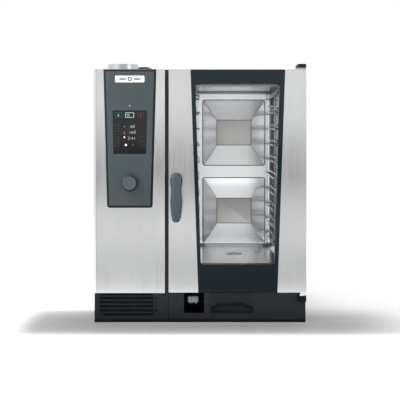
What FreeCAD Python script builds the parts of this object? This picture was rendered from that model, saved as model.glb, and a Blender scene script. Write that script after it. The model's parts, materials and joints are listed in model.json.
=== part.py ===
import FreeCAD, Part
import math
import os

# Combi steamer oven for a professional kitchen: table-top cabinet, glazed door, control column, base.
#
# Millimetres. +X is to the right as the cook sees it, +Y runs from the door to the back, +Z is up.
# The origin is at the middle of the whole oven's footprint, handle included, on the surface it stands on.
# Depths are measured from the door's face and turned into Y by y_at(), so y_at(0) is the face of the door.

V = FreeCAD.Vector
UP = V(0, 0, 1)
RIGHT = V(1, 0, 0)
BACKWARD = V(0, 1, 0)

# ---- driving dimensions ----
WIDTH = 850.0
BODY_DEPTH = 775.0
BODY_HEIGHT = 1014.0
HANDLE_REACH = 67.0
TOTAL_HEIGHT = 1064.0
SHEET = 1.5
RUNNING_GAP = 0.05

FACE_Y = HANDLE_REACH - (BODY_DEPTH + HANDLE_REACH) / 2
HALF = WIDTH / 2
INNER_HALF = HALF - SHEET

# base
RAIL_HEIGHT = 14.0
BASE_TOP = 121.0
BASE_FRONT = (20.0, 24.0)
BASE_HALF = 423.0
BASE_BACK = 755.0
SERVICE_WALL = 700.0
BASE_SEAM_X = -126.5
DECK_Z = (BASE_TOP - 0.5, BASE_TOP + 1)

GRILLE_X = (-403.0, -186.0)
GRILLE_Z = (22.0, 120.0)
SLOT_ROWS = 6
SLOT_PITCH = 16.3
SLOT_HEIGHT = 9.0
SLOT_LOWEST = 32.5
COOLER_X = -334.0
COOLER_Z = 64.0

NICHE_X = (-64.0, 16.0)
NICHE_Z = (38.0, 120.0)
NICHE_BACK = 172.0
SHOWER_X = -28.0
TRIGGER_PIVOT = (58.0, 73.0)
DRAWER_X = (40.0, 216.0)
DRAWER_Z = (36.0, 118.0)
REEL_X = -130.0
REEL_DEPTH = 282.0

# control column
COLUMN_RIGHT = -140.0
COLUMN_BACK = 67.5
CORNER_R = 12.0
PANEL_X = -279.5
PANEL_Z = (461.0, 1013.0)
PANEL_HALF = (90.5, 105.5)
PANEL_FACE = -7.0
DISPLAY_Z = (676.5, 848.5)
DISPLAY_HALF = (64.5, 68.5)
DIAL_Z = 561.0
DIAL_GAP = 2.5
DIAL_LENGTH = 34.5

# door
DOOR_LEFT = -125.0
DOOR_BOTTOM = 123.0
DOOR_TOP = 1013.0
GLASS_BED = 2.5
LEAF_DEPTH = (6.0, 48.0)
INNER_PANE_DEPTH = (48.0, 54.0)
GASKET_DEPTH = (55.0, 61.0, 68.0)
FRAME_DEPTH = (68.0, 70.0)
HINGE_X = 408.0
HINGE_DEPTH = 22.0
HINGE_PIN_R = 6.0
HINGE_BUSH_R = 9.0
HINGE_BLOCK_X = (393.0, 424.5)
HINGE_BLOCK_DEPTH = (3.0, 64.0)
HINGE_BLOCK_Z = (84.0, 108.0)
GLASS_X = 151.0
GLASS_HALF = (157.0, 188.0)
GLASS_BOTTOM = 127.0
WINDOW_Z = (233.0, 957.0)
WINDOW_HALF = (148.0, 170.0)
HANDLE_X = -94.0
HANDLE_Z = 573.0
SPINDLE_R = 7.0

# handle stations: rise above the pivot, half width, depth of the front, depth of the back
BELLY_SWELL = 0.9
LOBE_TIP = (25.0, 8.0, 45.0, 33.0)
LOBE_SHOULDER = (15.0, 20.5, 50.0, 26.0)
LOBE = (0.0, 24.8, 52.5, 23.0)
WAIST = (-41.0, 19.4, 58.5, 32.0)
BELLY = (-88.0, 23.2, HANDLE_REACH - BELLY_SWELL, 43.0)
TAPER = (-140.0, 19.0, 65.0, 42.0)
GRIP_END = (-166.0, 12.0, 60.0, 45.0)

# cooking cabinet
CAVITY_X = (-138.0, 340.0)
CAVITY_Z = (231.0, 948.0)
CAVITY_BACK = 690.0
CAVITY_CORNER_R = 24.0
OPENING_LEFT = -40.0
PAN_FRONT = 650.0
TRAY_X = 150.0
FAN_DEPTH = 385.0
FAN_Z = 590.0
BAFFLE_X = -42.0
DRAIN_DEPTH = 380.0

# racks
RACK_LEVELS = 10
RACK_PITCH = 68.0
RACK_LOWEST = 299.0
RACK_POST_X = 174.0
RACK_RAIL_X = 154.0
RACK_POSTS = (112.0, 372.0, 636.0)
POST_R = 4.0
WIRE_R = 3.0

# services
FLUE_X = -346.0
FLUE_DEPTH = 520.0
FLUE_R = 68.0
VENT_X = -262.0
VENT_DEPTH = 655.0
PIPE_Z = 70.0
INLETS_X = (-300.0, -230.0)
GLAND_X = -365.0


# ---- helpers ----
def y_at(depth):
    """Y of a point that lies this far behind the door's face."""
    return FACE_Y + depth


def box(x0, x1, d0, d1, z0, z1):
    return Part.makeBox(x1 - x0, d1 - d0, z1 - z0, V(x0, y_at(d0), z0))


def rod_x(radius, x0, x1, depth, z):
    return Part.makeCylinder(radius, x1 - x0, V(x0, y_at(depth), z), RIGHT)


def rod_y(radius, x, d0, d1, z):
    return Part.makeCylinder(radius, d1 - d0, V(x, y_at(d0), z), BACKWARD)


def rod_z(radius, x, depth, z0, z1):
    return Part.makeCylinder(radius, z1 - z0, V(x, y_at(depth), z0), UP)


def corner_arc(before, corner, after, radius):
    """Start, middle and end of the arc that rounds a corner between two neighbouring points."""
    back = before - corner
    ahead = after - corner
    back.normalize()
    ahead.normalize()
    opening = back.getAngle(ahead)
    cut = radius / math.tan(opening / 2)
    bisector = back + ahead
    bisector.normalize()
    inset = radius / math.sin(opening / 2) - radius
    return corner + back * cut, corner + bisector * inset, corner + ahead * cut


def rounded_loop(corners, radii, place):
    """Closed wire through flat corners, each with its own radius; place turns (u, v) into a point."""
    count = len(corners)
    flat = [V(u, v, 0) for u, v in corners]
    arcs = [corner_arc(flat[i - 1], flat[i], flat[(i + 1) % count], radii[i]) for i in range(count)]
    edges = []
    for i, (start, middle, end) in enumerate(arcs):
        if radii[i] > 0:
            edges.append(Part.Arc(place(start), place(middle), place(end)).toShape())
        following = arcs[(i + 1) % count][0]
        edges.append(Part.LineSegment(place(end), place(following)).toShape())
    return Part.Wire(edges)


def front_loop(corners, radii, depth):
    """Rounded loop of (x, z) corners on the plane that lies depth behind the door's face."""
    if not isinstance(radii, (list, tuple)):
        radii = [radii] * len(corners)
    return rounded_loop(corners, radii, lambda p: V(p.x, y_at(depth), p.y))


def front_plate(corners, radii, d0, d1):
    """Plate with a rounded (x, z) outline between two depths."""
    return Part.Face(front_loop(corners, radii, d0)).extrude(V(0, d1 - d0, 0))


def rectangle(x0, x1, z0, z1, grow=0.0):
    x0, x1, z0, z1 = x0 - grow, x1 + grow, z0 - grow, z1 + grow
    return [(x0, z0), (x1, z0), (x1, z1), (x0, z1)]


def tapered(centre, halves, heights, grow=0.0):
    """Corners of an outline that is symmetric about x = centre and widens evenly with height."""
    low, high = halves[0] + grow, halves[1] + grow
    z0, z1 = heights[0] - grow, heights[1] + grow
    return [(centre - low, z0), (centre + low, z0), (centre + high, z1), (centre - high, z1)]


def bent_tube(radius, points, bends):
    """Round bar along straight runs joined by tangent arcs; bends holds one radius per inner point."""
    edges = []
    start = points[0]
    for i, bend in enumerate(bends, 1):
        first, middle, last = corner_arc(points[i - 1], points[i], points[i + 1], bend)
        edges.append(Part.LineSegment(start, first).toShape())
        edges.append(Part.Arc(first, middle, last).toShape())
        start = last
    edges.append(Part.LineSegment(start, points[-1]).toShape())
    section = Part.Wire(Part.Circle(points[0], points[1] - points[0], radius).toShape())
    return Part.Wire(edges).makePipeShell([section], True, False)


def cut_all(shape, tools):
    return shape.cut(Part.makeCompound(tools))


def fuse_all(shapes):
    return shapes[0].multiFuse(shapes[1:]).removeSplitter()


def edges_along(shape, direction, test):
    """Straight edges parallel to direction whose middle passes the test."""
    found = []
    for edge in shape.Edges:
        run = edge.Vertexes[-1].Point - edge.Vertexes[0].Point
        if run.Length > 1 and abs(run.normalize().dot(direction)) > 0.999:
            if test(edge.valueAt((edge.FirstParameter + edge.LastParameter) / 2)):
                found.append(edge)
    return found


def every(point):
    return True


def save(node, *solids):
    """Writes one sub-part; several solids in it stay separate."""
    shape = solids[0] if len(solids) == 1 else Part.makeCompound(list(solids))
    if not shape.isValid():
        raise ValueError(node + " is not a valid shape")
    shape.exportStep("parts/" + node + ".step")


# ---- base ----
def plinth_rails():
    """Four flat bars that carry the oven on its table or stand."""
    bar = 30
    front, back = BASE_FRONT[1], BASE_BACK - 5
    save(
        "plinth_rails",
        box(-BASE_HALF, BASE_HALF, front, front + bar, 0, RAIL_HEIGHT),
        box(-BASE_HALF, BASE_HALF, back - bar, back, 0, RAIL_HEIGHT),
        box(-BASE_HALF, -BASE_HALF + bar, front + bar, back - bar, 0, RAIL_HEIGHT),
        box(BASE_HALF - bar, BASE_HALF, front + bar, back - bar, 0, RAIL_HEIGHT),
    )


def base_tray():
    """Folded tray: floor, two side skirts and the set-back service wall with its pipe and cable holes."""
    front, top, skin = BASE_FRONT[1], DECK_Z[0], 2
    sheets = [
        box(-BASE_HALF, BASE_HALF, front, BASE_BACK, RAIL_HEIGHT, RAIL_HEIGHT + skin),
        box(-BASE_HALF, -BASE_HALF + skin, front, BASE_BACK, RAIL_HEIGHT, top),
        box(BASE_HALF - skin, BASE_HALF, front, BASE_BACK, RAIL_HEIGHT, top),
        box(-BASE_HALF, BASE_HALF, SERVICE_WALL, SERVICE_WALL + skin, RAIL_HEIGHT, top),
    ]
    holes = [rod_y(25.5, TRAY_X, SERVICE_WALL - 1, SERVICE_WALL + 5, PIPE_Z)]
    for x in INLETS_X:
        holes.append(rod_y(13.6, x, SERVICE_WALL - 1, SERVICE_WALL + 5, PIPE_Z))
    holes.append(rod_y(16.2, GLAND_X, SERVICE_WALL - 1, SERVICE_WALL + 5, PIPE_Z))
    foot, back = HINGE_BLOCK_Z[0] - 0.5, HINGE_BLOCK_DEPTH[1] + 0.5
    holes.append(box(BASE_HALF - skin - 1, BASE_HALF + 1, front - 1, back, foot, top + 1))
    save("base_tray", cut_all(fuse_all(sheets), holes))


def base_fronts():
    """Left and right front panels, with the filter, shower, drawer and hinge cut-outs."""
    near, far = BASE_FRONT
    panel_z = (RAIL_HEIGHT, DECK_Z[0])
    seam_gap, edge_r = 0.6, 2.5
    left = box(-BASE_HALF, BASE_SEAM_X - seam_gap, near, far, *panel_z)
    window = box(GRILLE_X[0] - 0.5, GRILLE_X[1] + 0.5, 10, 30, GRILLE_Z[0] - 0.5, BASE_TOP)
    slots = [box(-176, -172, 10, 30, z - 3.5, z + 3.5) for z in (47, 94)]
    left = cut_all(left, [window] + slots)
    rim = edges_along(left, UP, lambda p: p.x < -BASE_HALF + 0.1 and p.y < y_at(near + 0.1))
    save("base_front_left", left.makeFillet(edge_r, rim))
    right = box(BASE_SEAM_X + seam_gap, BASE_HALF, near, far, *panel_z)
    openings = [
        box(NICHE_X[0], NICHE_X[1], 10, 30, NICHE_Z[0], BASE_TOP),
        box(DRAWER_X[0] - 0.8, DRAWER_X[1] + 0.8, 10, 30, DRAWER_Z[0] - 0.8, BASE_TOP),
        box(391, BASE_HALF + 1, 10, 30, 82, BASE_TOP),
    ]
    right = cut_all(right, openings)
    rim = edges_along(right, UP, lambda p: p.x > BASE_HALF - 0.1 and p.y < y_at(near + 0.1))
    save("base_front_right", right.makeFillet(edge_r, rim))


def intake_grille():
    """Pull-out intake: slotted front with the filter frame behind it, and the filter mat."""
    x0, x1 = GRILLE_X
    z0, z1 = GRILLE_Z
    plate = box(x0, x1, *BASE_FRONT, z0, z1)
    slots = []
    for row in range(SLOT_ROWS):
        z = SLOT_LOWEST + row * SLOT_PITCH
        left = x0 + (16 if row == 0 else 3)
        slots.append(box(left, x1 - 3, 10, 26, z - SLOT_HEIGHT / 2, z + SLOT_HEIGHT / 2))
    rib = box(-267, -263, BASE_FRONT[0] + 2, BASE_FRONT[1], z0 + 2, z1 - 2)
    frame = box(x0 + 2, x1 - 2, BASE_FRONT[1], 44, z0 + 2, z1 - 2)
    pocket = box(x0 + 3, x1 - 3, BASE_FRONT[1], 42, z0 + 3, z1 - 3)
    window = box(x0 + 12, x1 - 12, 40, 50, z0 + 12, z1 - 12)
    save("intake_grille", fuse_all([cut_all(plate, slots), rib, cut_all(frame, [pocket, window])]))
    save("filter_mat", box(x0 + 3, x1 - 3, 30, 42, z0 + 3, z1 - 3))


def cooling_fan():
    """Axial fan that cools the electronics: square frame with spokes, and a seven-blade rotor."""
    x, z, half = COOLER_X, COOLER_Z, 48
    frame = box(x - half, x + half, 60, 86, z - half, z + half).cut(rod_y(43, x, 50, 95, z))
    spokes = [
        box(x - 2.5, x + 2.5, 82, 85, z - 43.5, z + 43.5),
        box(x - 43.5, x + 43.5, 82, 85, z - 2.5, z + 2.5),
        rod_y(17, x, 80, 85, z),
    ]
    frame = fuse_all([frame] + spokes)
    save("cooling_fan_frame", frame.cut(rod_y(2.5 + RUNNING_GAP, x, 78, 84, z)))
    rotor = [rod_y(17, x, 62, 79, z), rod_y(2.5, x, 78, 83.5, z)]
    blades = 7
    for i in range(blades):
        blade = box(x - 1, x + 1, 64, 78, z + 15, z + 40.5)
        blade.rotate(V(x, y_at(71), z), UP, 38)
        blade.rotate(V(x, y_at(71), z), BACKWARD, i * 360 / blades)
        rotor.append(blade)
    save("cooling_fan_rotor", fuse_all(rotor))


def care_drawer():
    """Drawer for cleaning tablets: moulded front with a finger pocket, tray, and its two runners."""
    x0, x1 = DRAWER_X
    z0, z1 = DRAWER_Z
    front = box(x0, x1, BASE_FRONT[0], BASE_FRONT[0] + 22, z0, z1)
    pocket = [(43, 38.5), (213, 38.5), (213, 66), (196, 66), (180, 82), (73, 82), (57, 66), (43, 66)]
    deep = [(47, 41), (209, 41), (209, 56), (191, 56), (177, 64), (76, 64), (62, 56), (47, 56)]
    loops = [front_loop(pocket, 1.5, BASE_FRONT[0] - 1), front_loop(deep, 1.5, BASE_FRONT[0] + 17)]
    front = front.cut(Part.makeLoft(loops, True, True))
    tray = box(50, 206, 42, 252, 42, 112).cut(box(52, 204, 44, 250, 44, 120))
    save("care_drawer", fuse_all([front, tray]))
    runners = []
    for web, ledge in (((44, 49.5), (49.5, 54)), ((206.5, 212), (202, 206.5))):
        upright = box(*web, 46, 300, RAIL_HEIGHT + 2, 100)
        runners.append(upright.fuse(box(*ledge, 46, 300, 36, 41.5)))
    save("drawer_runners", *runners)


def shower_niche():
    """Moulded niche in the base, with the two ledges that the hand shower lies on."""
    x0, x1 = NICHE_X
    z0, z1 = NICHE_Z
    niche = box(x0 - 2, x1 + 2, BASE_FRONT[1], NICHE_BACK + 2, z0 - 2, z1 + 0.4)
    niche = niche.cut(box(x0, x1, BASE_FRONT[1] - 5, NICHE_BACK, z0, z1 - 1.5))
    niche = niche.cut(rod_y(14, SHOWER_X, NICHE_BACK - 5, NICHE_BACK + 5, 90))
    ledges = [box(low, high, 60, NICHE_BACK, 73.5, 77.5) for low, high in ((x0, -45), (-11, x1))]
    save("shower_niche", fuse_all([niche] + ledges))


def hand_shower():
    """Hand shower parked in the niche: grip with jet face and trigger pin, and the trigger lever."""
    depth, z = TRIGGER_PIVOT
    pin_r = 2.0
    grip = box(-49, -7, 34, 146, 78, 102)
    grip = grip.makeFillet(6, edges_along(grip, BACKWARD, every))
    lugs = [box(low, low + 3, 52, 64, 69, 79) for low in (-41, -18)]
    face = front_plate(rectangle(-47.5, -8.5, 80, 100), 3, 30, 34)
    stub = rod_y(9, SHOWER_X, 146, 158, 90)
    pin = rod_x(pin_r, -41, -15, depth, z)
    jets = []
    for column in range(-2, 3):
        for row in (-1, 0, 1):
            jets.append(rod_y(1.1, SHOWER_X + 7 * column, 29, 31.5, 90 + 5 * row))
    save("shower_grip", cut_all(fuse_all([grip, face, stub, pin] + lugs), jets))
    profile = [(52, 75.5), (62, 75.5), (128, 62), (128, 57.5), (56, 69.5), (52, 70)]
    points = [V(-37, y_at(a), b) for a, b in profile]
    lever = Part.Face(Part.makePolygon(points + points[:1])).extrude(V(18, 0, 0))
    save("shower_trigger", lever.cut(rod_x(pin_r + RUNNING_GAP, -50, 0, depth, z)))


def hose_reel():
    """Reel that takes up the shower's hose: flanged drum on a fixed axle under its spring case."""
    drum = fuse_all(
        [
            rod_z(88, REEL_X, REEL_DEPTH, 26, 29),
            rod_z(45, REEL_X, REEL_DEPTH, 29, 92),
            rod_z(88, REEL_X, REEL_DEPTH, 92, 95),
        ]
    )
    axle_r = 8.0
    bore = rod_z(axle_r + RUNNING_GAP, REEL_X, REEL_DEPTH, 20, 100)
    relief = rod_z(38, REEL_X, REEL_DEPTH, 34, 96).cut(rod_z(12, REEL_X, REEL_DEPTH, 30, 100))
    save("hose_reel_drum", cut_all(drum, [bore, relief]))
    foot = rod_z(14, REEL_X, REEL_DEPTH, RAIL_HEIGHT + 2, 25)
    axle = rod_z(axle_r, REEL_X, REEL_DEPTH, RAIL_HEIGHT + 2, 101)
    case = rod_z(42, REEL_X, REEL_DEPTH, 100, 114)
    save("hose_reel_base", fuse_all([foot, axle, case]))


# ---- casing ----
def side_panel_left():
    """Left side sheet, which rolls round the front corner."""
    outer, inner = -HALF, -INNER_HALF
    back = y_at(BODY_DEPTH - SHEET)
    centre = V(outer + CORNER_R, y_at(CORNER_R), BASE_TOP)
    slant = math.sqrt(0.5)

    def roll(radius):
        start = centre + V(-radius, 0, 0)
        middle = centre + V(-radius * slant, -radius * slant, 0)
        end = centre + V(0, -radius, 0)
        return start, middle, end

    out_start, out_mid, out_end = roll(CORNER_R)
    in_start, in_mid, in_end = roll(CORNER_R - SHEET)
    out_back = V(outer, back, BASE_TOP)
    in_back = V(inner, back, BASE_TOP)
    edges = [
        Part.LineSegment(out_back, out_start),
        Part.Arc(out_start, out_mid, out_end),
        Part.LineSegment(out_end, in_end),
        Part.Arc(in_end, in_mid, in_start),
        Part.LineSegment(in_start, in_back),
        Part.LineSegment(in_back, out_back),
    ]
    outline = Part.Face(Part.Wire([edge.toShape() for edge in edges]))
    save("side_panel_left", outline.extrude(V(0, 0, BODY_HEIGHT - BASE_TOP)))


def casing():
    """Right side, top and louvred back sheets."""
    right = box(INNER_HALF, HALF, FRAME_DEPTH[0], BODY_DEPTH - SHEET, BASE_TOP, BODY_HEIGHT)
    save("side_panel_right", right)
    lid_z = BODY_HEIGHT - SHEET
    top = box(-INNER_HALF, INNER_HALF, FRAME_DEPTH[0], BODY_DEPTH, lid_z, BODY_HEIGHT)
    holes = [
        rod_z(FLUE_R + 0.5, FLUE_X, FLUE_DEPTH, 1000, 1030),
        rod_z(22.5, VENT_X, VENT_DEPTH, 1000, 1030),
    ]
    save("top_cover", cut_all(top, holes))
    back = box(-INNER_HALF, INNER_HALF, BODY_DEPTH - SHEET, BODY_DEPTH, DECK_Z[1], lid_z)
    louvres = []
    for bank_x in (-375, -255):
        for row in range(9):
            z = 620 + row * 24
            louvres.append(box(bank_x, bank_x + 95, BODY_DEPTH - 10, BODY_DEPTH + 5, z, z + 7))
    save("rear_panel", cut_all(back, louvres))


def column_front():
    """Stainless front of the control column with folded flanges, and the seal strip at its right."""
    left = -HALF + CORNER_R + 0.4
    right = COLUMN_RIGHT
    flange_left = -INNER_HALF + 0.2
    inside = BODY_HEIGHT - SHEET
    top = box(flange_left, right, SHEET, COLUMN_BACK, inside, BODY_HEIGHT)
    bottom = box(flange_left, right, SHEET, COLUMN_BACK, BASE_TOP, BASE_TOP + SHEET)
    corner = box(-HALF, -HALF + CORNER_R, 0, CORNER_R, BASE_TOP - 1, BODY_HEIGHT + 1)
    roll = rod_z(CORNER_R - SHEET - 0.2, -HALF + CORNER_R, CORNER_R, BASE_TOP - 1, BODY_HEIGHT + 1)
    corner = corner.cut(roll)
    face = box(left, right, 0, SHEET, BASE_TOP, BODY_HEIGHT)
    fold = box(right - SHEET, right, SHEET, COLUMN_BACK, BASE_TOP + SHEET, inside)
    column = fuse_all([face, fold, top.cut(corner), bottom.cut(corner)])
    holes = [box(PANEL_X - 50, PANEL_X + 50, -5, 5, 700, 830), rod_y(12, PANEL_X, -5, 5, DIAL_Z)]
    column = cut_all(column, holes)
    bend = edges_along(column, UP, lambda p: p.x > right - 0.1 and p.y < y_at(0.1))
    save("column_front", column.makeFillet(1.2, bend))
    save("column_seal", box(right, DOOR_LEFT - 2.2, 12, 20, DECK_Z[1], BODY_HEIGHT - 2))


def control_panel():
    """Moulded operating panel with bevelled edges, display glass, badge plate and status lamp."""
    z0, z1 = PANEL_Z
    radii = [10, 10, 3, 3]
    base = tapered(PANEL_X, PANEL_HALF, PANEL_Z)
    face = tapered(PANEL_X, (PANEL_HALF[0] - 9, PANEL_HALF[1] - 9.5), (z0 + 5, z1 - 3))
    wires = [front_loop(base, radii, -1.5), front_loop(face, radii, PANEL_FACE)]
    body = fuse_all([front_plate(base, radii, -1.5, 0), Part.makeLoft(wires, True, True)])
    glass = tapered(PANEL_X, DISPLAY_HALF, DISPLAY_Z)
    holes = [
        front_plate(tapered(PANEL_X, DISPLAY_HALF, DISPLAY_Z, 0.3), 3.3, PANEL_FACE - 1, PANEL_FACE + 2),
        box(PANEL_X - 49, PANEL_X + 49, PANEL_FACE + 1, 1, 701, 829),
        rod_y(9.5, PANEL_X, -10, 5, DIAL_Z),
        rod_y(3.5, PANEL_X, -10, PANEL_FACE + 3, 867.5),
    ]
    save("control_panel", cut_all(body, holes))
    save("display_glass", front_plate(glass, 3, PANEL_FACE - 0.3, PANEL_FACE + 2))
    badge = rectangle(PANEL_X - 58.5, PANEL_X + 58.5, 960.5, 987.5)
    save("badge_plate", front_plate(badge, 5, PANEL_FACE - 0.9, PANEL_FACE))
    save("status_lamp", rod_y(3.4, PANEL_X, PANEL_FACE - 0.6, PANEL_FACE + 3, 867.5))


def control_board():
    """Circuit board on stand-offs, with the display module, the dial's encoder and its larger parts."""
    face, back = 34, 36
    solids = [box(PANEL_X - 80, PANEL_X + 80, face, back, 540, 880)]
    for x in (PANEL_X - 72, PANEL_X + 72):
        for z in (550, 870):
            solids.append(rod_y(4, x, SHEET, face, z))
    solids.append(box(PANEL_X - 46, PANEL_X + 46, PANEL_FACE + 2, face, 704, 826))
    case = box(PANEL_X - 13, PANEL_X + 13, 11, face, DIAL_Z - 13, DIAL_Z + 13)
    solids.append(case.cut(rod_y(3.3, PANEL_X, 5, 31, DIAL_Z)))
    solids.append(box(PANEL_X - 70, PANEL_X - 20, back, 64, 600, 670))
    solids.append(box(PANEL_X + 5, PANEL_X + 65, back, 58, 600, 650))
    solids.append(box(PANEL_X + 20, PANEL_X + 70, back, 52, 790, 860))
    for i in range(4):
        relay_x = PANEL_X - 72 + 22 * i
        solids.append(box(relay_x, relay_x + 17, back, 54, 700, 730))
        solids.append(rod_y(7, relay_x + 9, back, 60, 765))
    save("control_board", *solids)


def dial():
    """Push-and-turn dial: the knob and its stem turn inside a plunger ring that is pushed in."""
    back = PANEL_FACE - DIAL_GAP
    front = PANEL_FACE - DIAL_LENGTH
    skirt = Part.makeCone(35, 31, 12, V(PANEL_X, y_at(back), DIAL_Z), -BACKWARD)
    crown = Part.makeCone(31, 27, back - 12 - front, V(PANEL_X, y_at(back - 12), DIAL_Z), -BACKWARD)
    knob = fuse_all([skirt, crown])
    rim = [e for e in knob.Edges if e.BoundBox.YMax < y_at(front) + 0.01 and e.BoundBox.XLength > 20]
    knob = knob.makeFillet(3.0, rim)
    hollow = rod_y(24, PANEL_X, back - 8, back, DIAL_Z).cut(rod_y(8, PANEL_X, back - 9, back, DIAL_Z))
    stem_r, stem_end = 3.0, 28
    save("dial_knob", knob.cut(hollow).fuse(rod_y(stem_r, PANEL_X, back - 5, stem_end, DIAL_Z)))
    ring = rod_y(7.4, PANEL_X, 5, 8, DIAL_Z)
    save("dial_plunger", ring.cut(rod_y(stem_r + RUNNING_GAP, PANEL_X, 0, 10, DIAL_Z)))


# ---- cooking cabinet ----
def chassis_frame():
    """Front frame round the cabinet's mouth, standing on the deck that closes the base."""
    near, far = FRAME_DEPTH
    plate = box(COLUMN_RIGHT + 0.5, INNER_HALF, near, far, DECK_Z[1], BODY_HEIGHT - SHEET)
    mouth = rectangle(OPENING_LEFT, CAVITY_X[1], *CAVITY_Z)
    holes = [
        front_plate(mouth, CAVITY_CORNER_R, near - 5, far + 5),
        rod_y(22, HANDLE_X, 60, 80, HANDLE_Z),
    ]
    deck = box(-BASE_HALF, BASE_HALF, near, BODY_DEPTH - 2, *DECK_Z)
    deck = deck.cut(rod_z(26, TRAY_X, DRAIN_DEPTH, 110, 130))
    save("chassis_frame", fuse_all([cut_all(plate, holes), deck]))


def door_gasket():
    """Gasket round the cabinet's mouth: a wide foot and a narrower lip."""
    lip_front, foot_front, back = GASKET_DEPTH
    mouth = (OPENING_LEFT, CAVITY_X[1], *CAVITY_Z)
    foot = front_plate(rectangle(*mouth, 21), 34, foot_front, back)
    foot = foot.cut(front_plate(rectangle(*mouth, 8), 21, foot_front - 1, back + 1))
    lip = front_plate(rectangle(*mouth, 18), 31, lip_front, foot_front)
    lip = lip.cut(front_plate(rectangle(*mouth, 11), 24, lip_front - 1, foot_front + 1))
    save("door_gasket", fuse_all([foot, lip]))


def latch_receiver():
    """Cup behind the front frame that the door's latch roller drops into."""
    x, z, half = HANDLE_X, HANDLE_Z, 28
    cup = box(x - half, x + half, FRAME_DEPTH[1], 94, z - half, z + half)
    save("latch_receiver", cup.cut(rod_y(22, x, 60, 91, z)))


def pressed_pyramid(x0, x1, z0, z1):
    """Stiffening pyramid of the rear wall, as an outer shape and the hollow pressed behind it."""
    step, rise = 3.0, 16.0
    mid_x, mid_z = (x0 + x1) / 2, (z0 + z1) / 2
    shapes = []
    for inset in (0.0, SHEET):
        wall = CAVITY_BACK + inset
        top = rectangle(mid_x - 81, mid_x + 81, mid_z - 59.5, mid_z + 59.5, -inset)
        foot = rectangle(x0, x1, z0, z1, -4 - inset)
        plinth = front_plate(rectangle(x0, x1, z0, z1, -inset), 12 - inset, wall - step, wall)
        loops = [front_loop(foot, 9, wall - step), front_loop(top, 5, wall - rise)]
        shapes.append([plinth, Part.makeLoft(loops, True, True)])
    return shapes


def cabinet():
    """Welded cooking cabinet: rounded tube, pressed rear wall and the floor strainer."""
    x0, x1 = CAVITY_X
    z0, z1 = CAVITY_Z
    r = CAVITY_CORNER_R
    front = FRAME_DEPTH[1]
    tube = front_plate(rectangle(x0, x1, z0, z1, SHEET), r + SHEET, front, PAN_FRONT)
    tube = tube.cut(front_plate(rectangle(x0, x1, z0, z1), r, front - 5, PAN_FRONT + 5))
    holes = [
        rod_x(12, x0 - 10, x0 + 10, FAN_DEPTH, FAN_Z),
        rod_x(19, x0 - 10, x0 + 10, 600, 400),
        rod_z(22, TRAY_X, DRAIN_DEPTH, z0 - 10, z0 + 5),
    ]
    save("cabinet_liner", cut_all(tube, holes))

    def tub(grow, near, far, radius):
        block = box(x0 - grow, x1 + grow, near, far, z0 - grow, z1 + grow)
        block = block.makeFillet(radius, edges_along(block, BACKWARD, every))
        rear = [e for e in block.Edges if e.BoundBox.YMin > y_at(far) - 0.01]
        return block.makeFillet(radius - 0.5, rear)

    pan = tub(SHEET, PAN_FRONT, CAVITY_BACK + SHEET, r + SHEET)
    pan = pan.cut(tub(0, PAN_FRONT - 60, CAVITY_BACK, r))
    for heights in ((240, 549), (603, 912)):
        outer, inner = pressed_pyramid(11, 305, *heights)
        pan = fuse_all([pan] + outer).cut(fuse_all(inner))
    save("cabinet_rear_wall", pan)
    rim = rod_z(33, TRAY_X, DRAIN_DEPTH, z0, z0 + 2)
    strainer = fuse_all([rim, rod_z(21.5, TRAY_X, DRAIN_DEPTH, z0 - 6, z0)])
    slots = []
    for i in range(5):
        near = DRAIN_DEPTH - 16 + 7 * i
        slots.append(box(TRAY_X - 13, TRAY_X + 13, near, near + 4, z0 - 10, z0 + 5))
    save("drain_strainer", cut_all(strainer, slots))


def fan_baffle():
    """Slotted air baffle on four stays in front of the convection fan."""
    baffle = box(BAFFLE_X, BAFFLE_X + SHEET, 95, 645, 245, 934)
    centre = V(BAFFLE_X, y_at(FAN_DEPTH), FAN_Z)
    slots = []
    for ring_r, count in ((40, 10), (62, 14), (84, 18), (106, 22)):
        for i in range(count):
            low = FAN_Z + ring_r - 8
            slot = box(BAFFLE_X - 5, BAFFLE_X + 5, FAN_DEPTH - 3, FAN_DEPTH + 3, low, low + 16)
            slot.rotate(centre, RIGHT, i * 360 / count)
            slots.append(slot)
    for depth in (130, 600):
        for i in range(8):
            z = 280 + 80 * i
            slots.append(box(BAFFLE_X - 5, BAFFLE_X + 5, depth, depth + 12, z, z + 50))
    stays = [rod_x(6, CAVITY_X[0], BAFFLE_X, depth, z) for depth in (115, 635) for z in (262, 918)]
    save("fan_baffle", fuse_all([cut_all(baffle, slots)] + stays))


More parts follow.
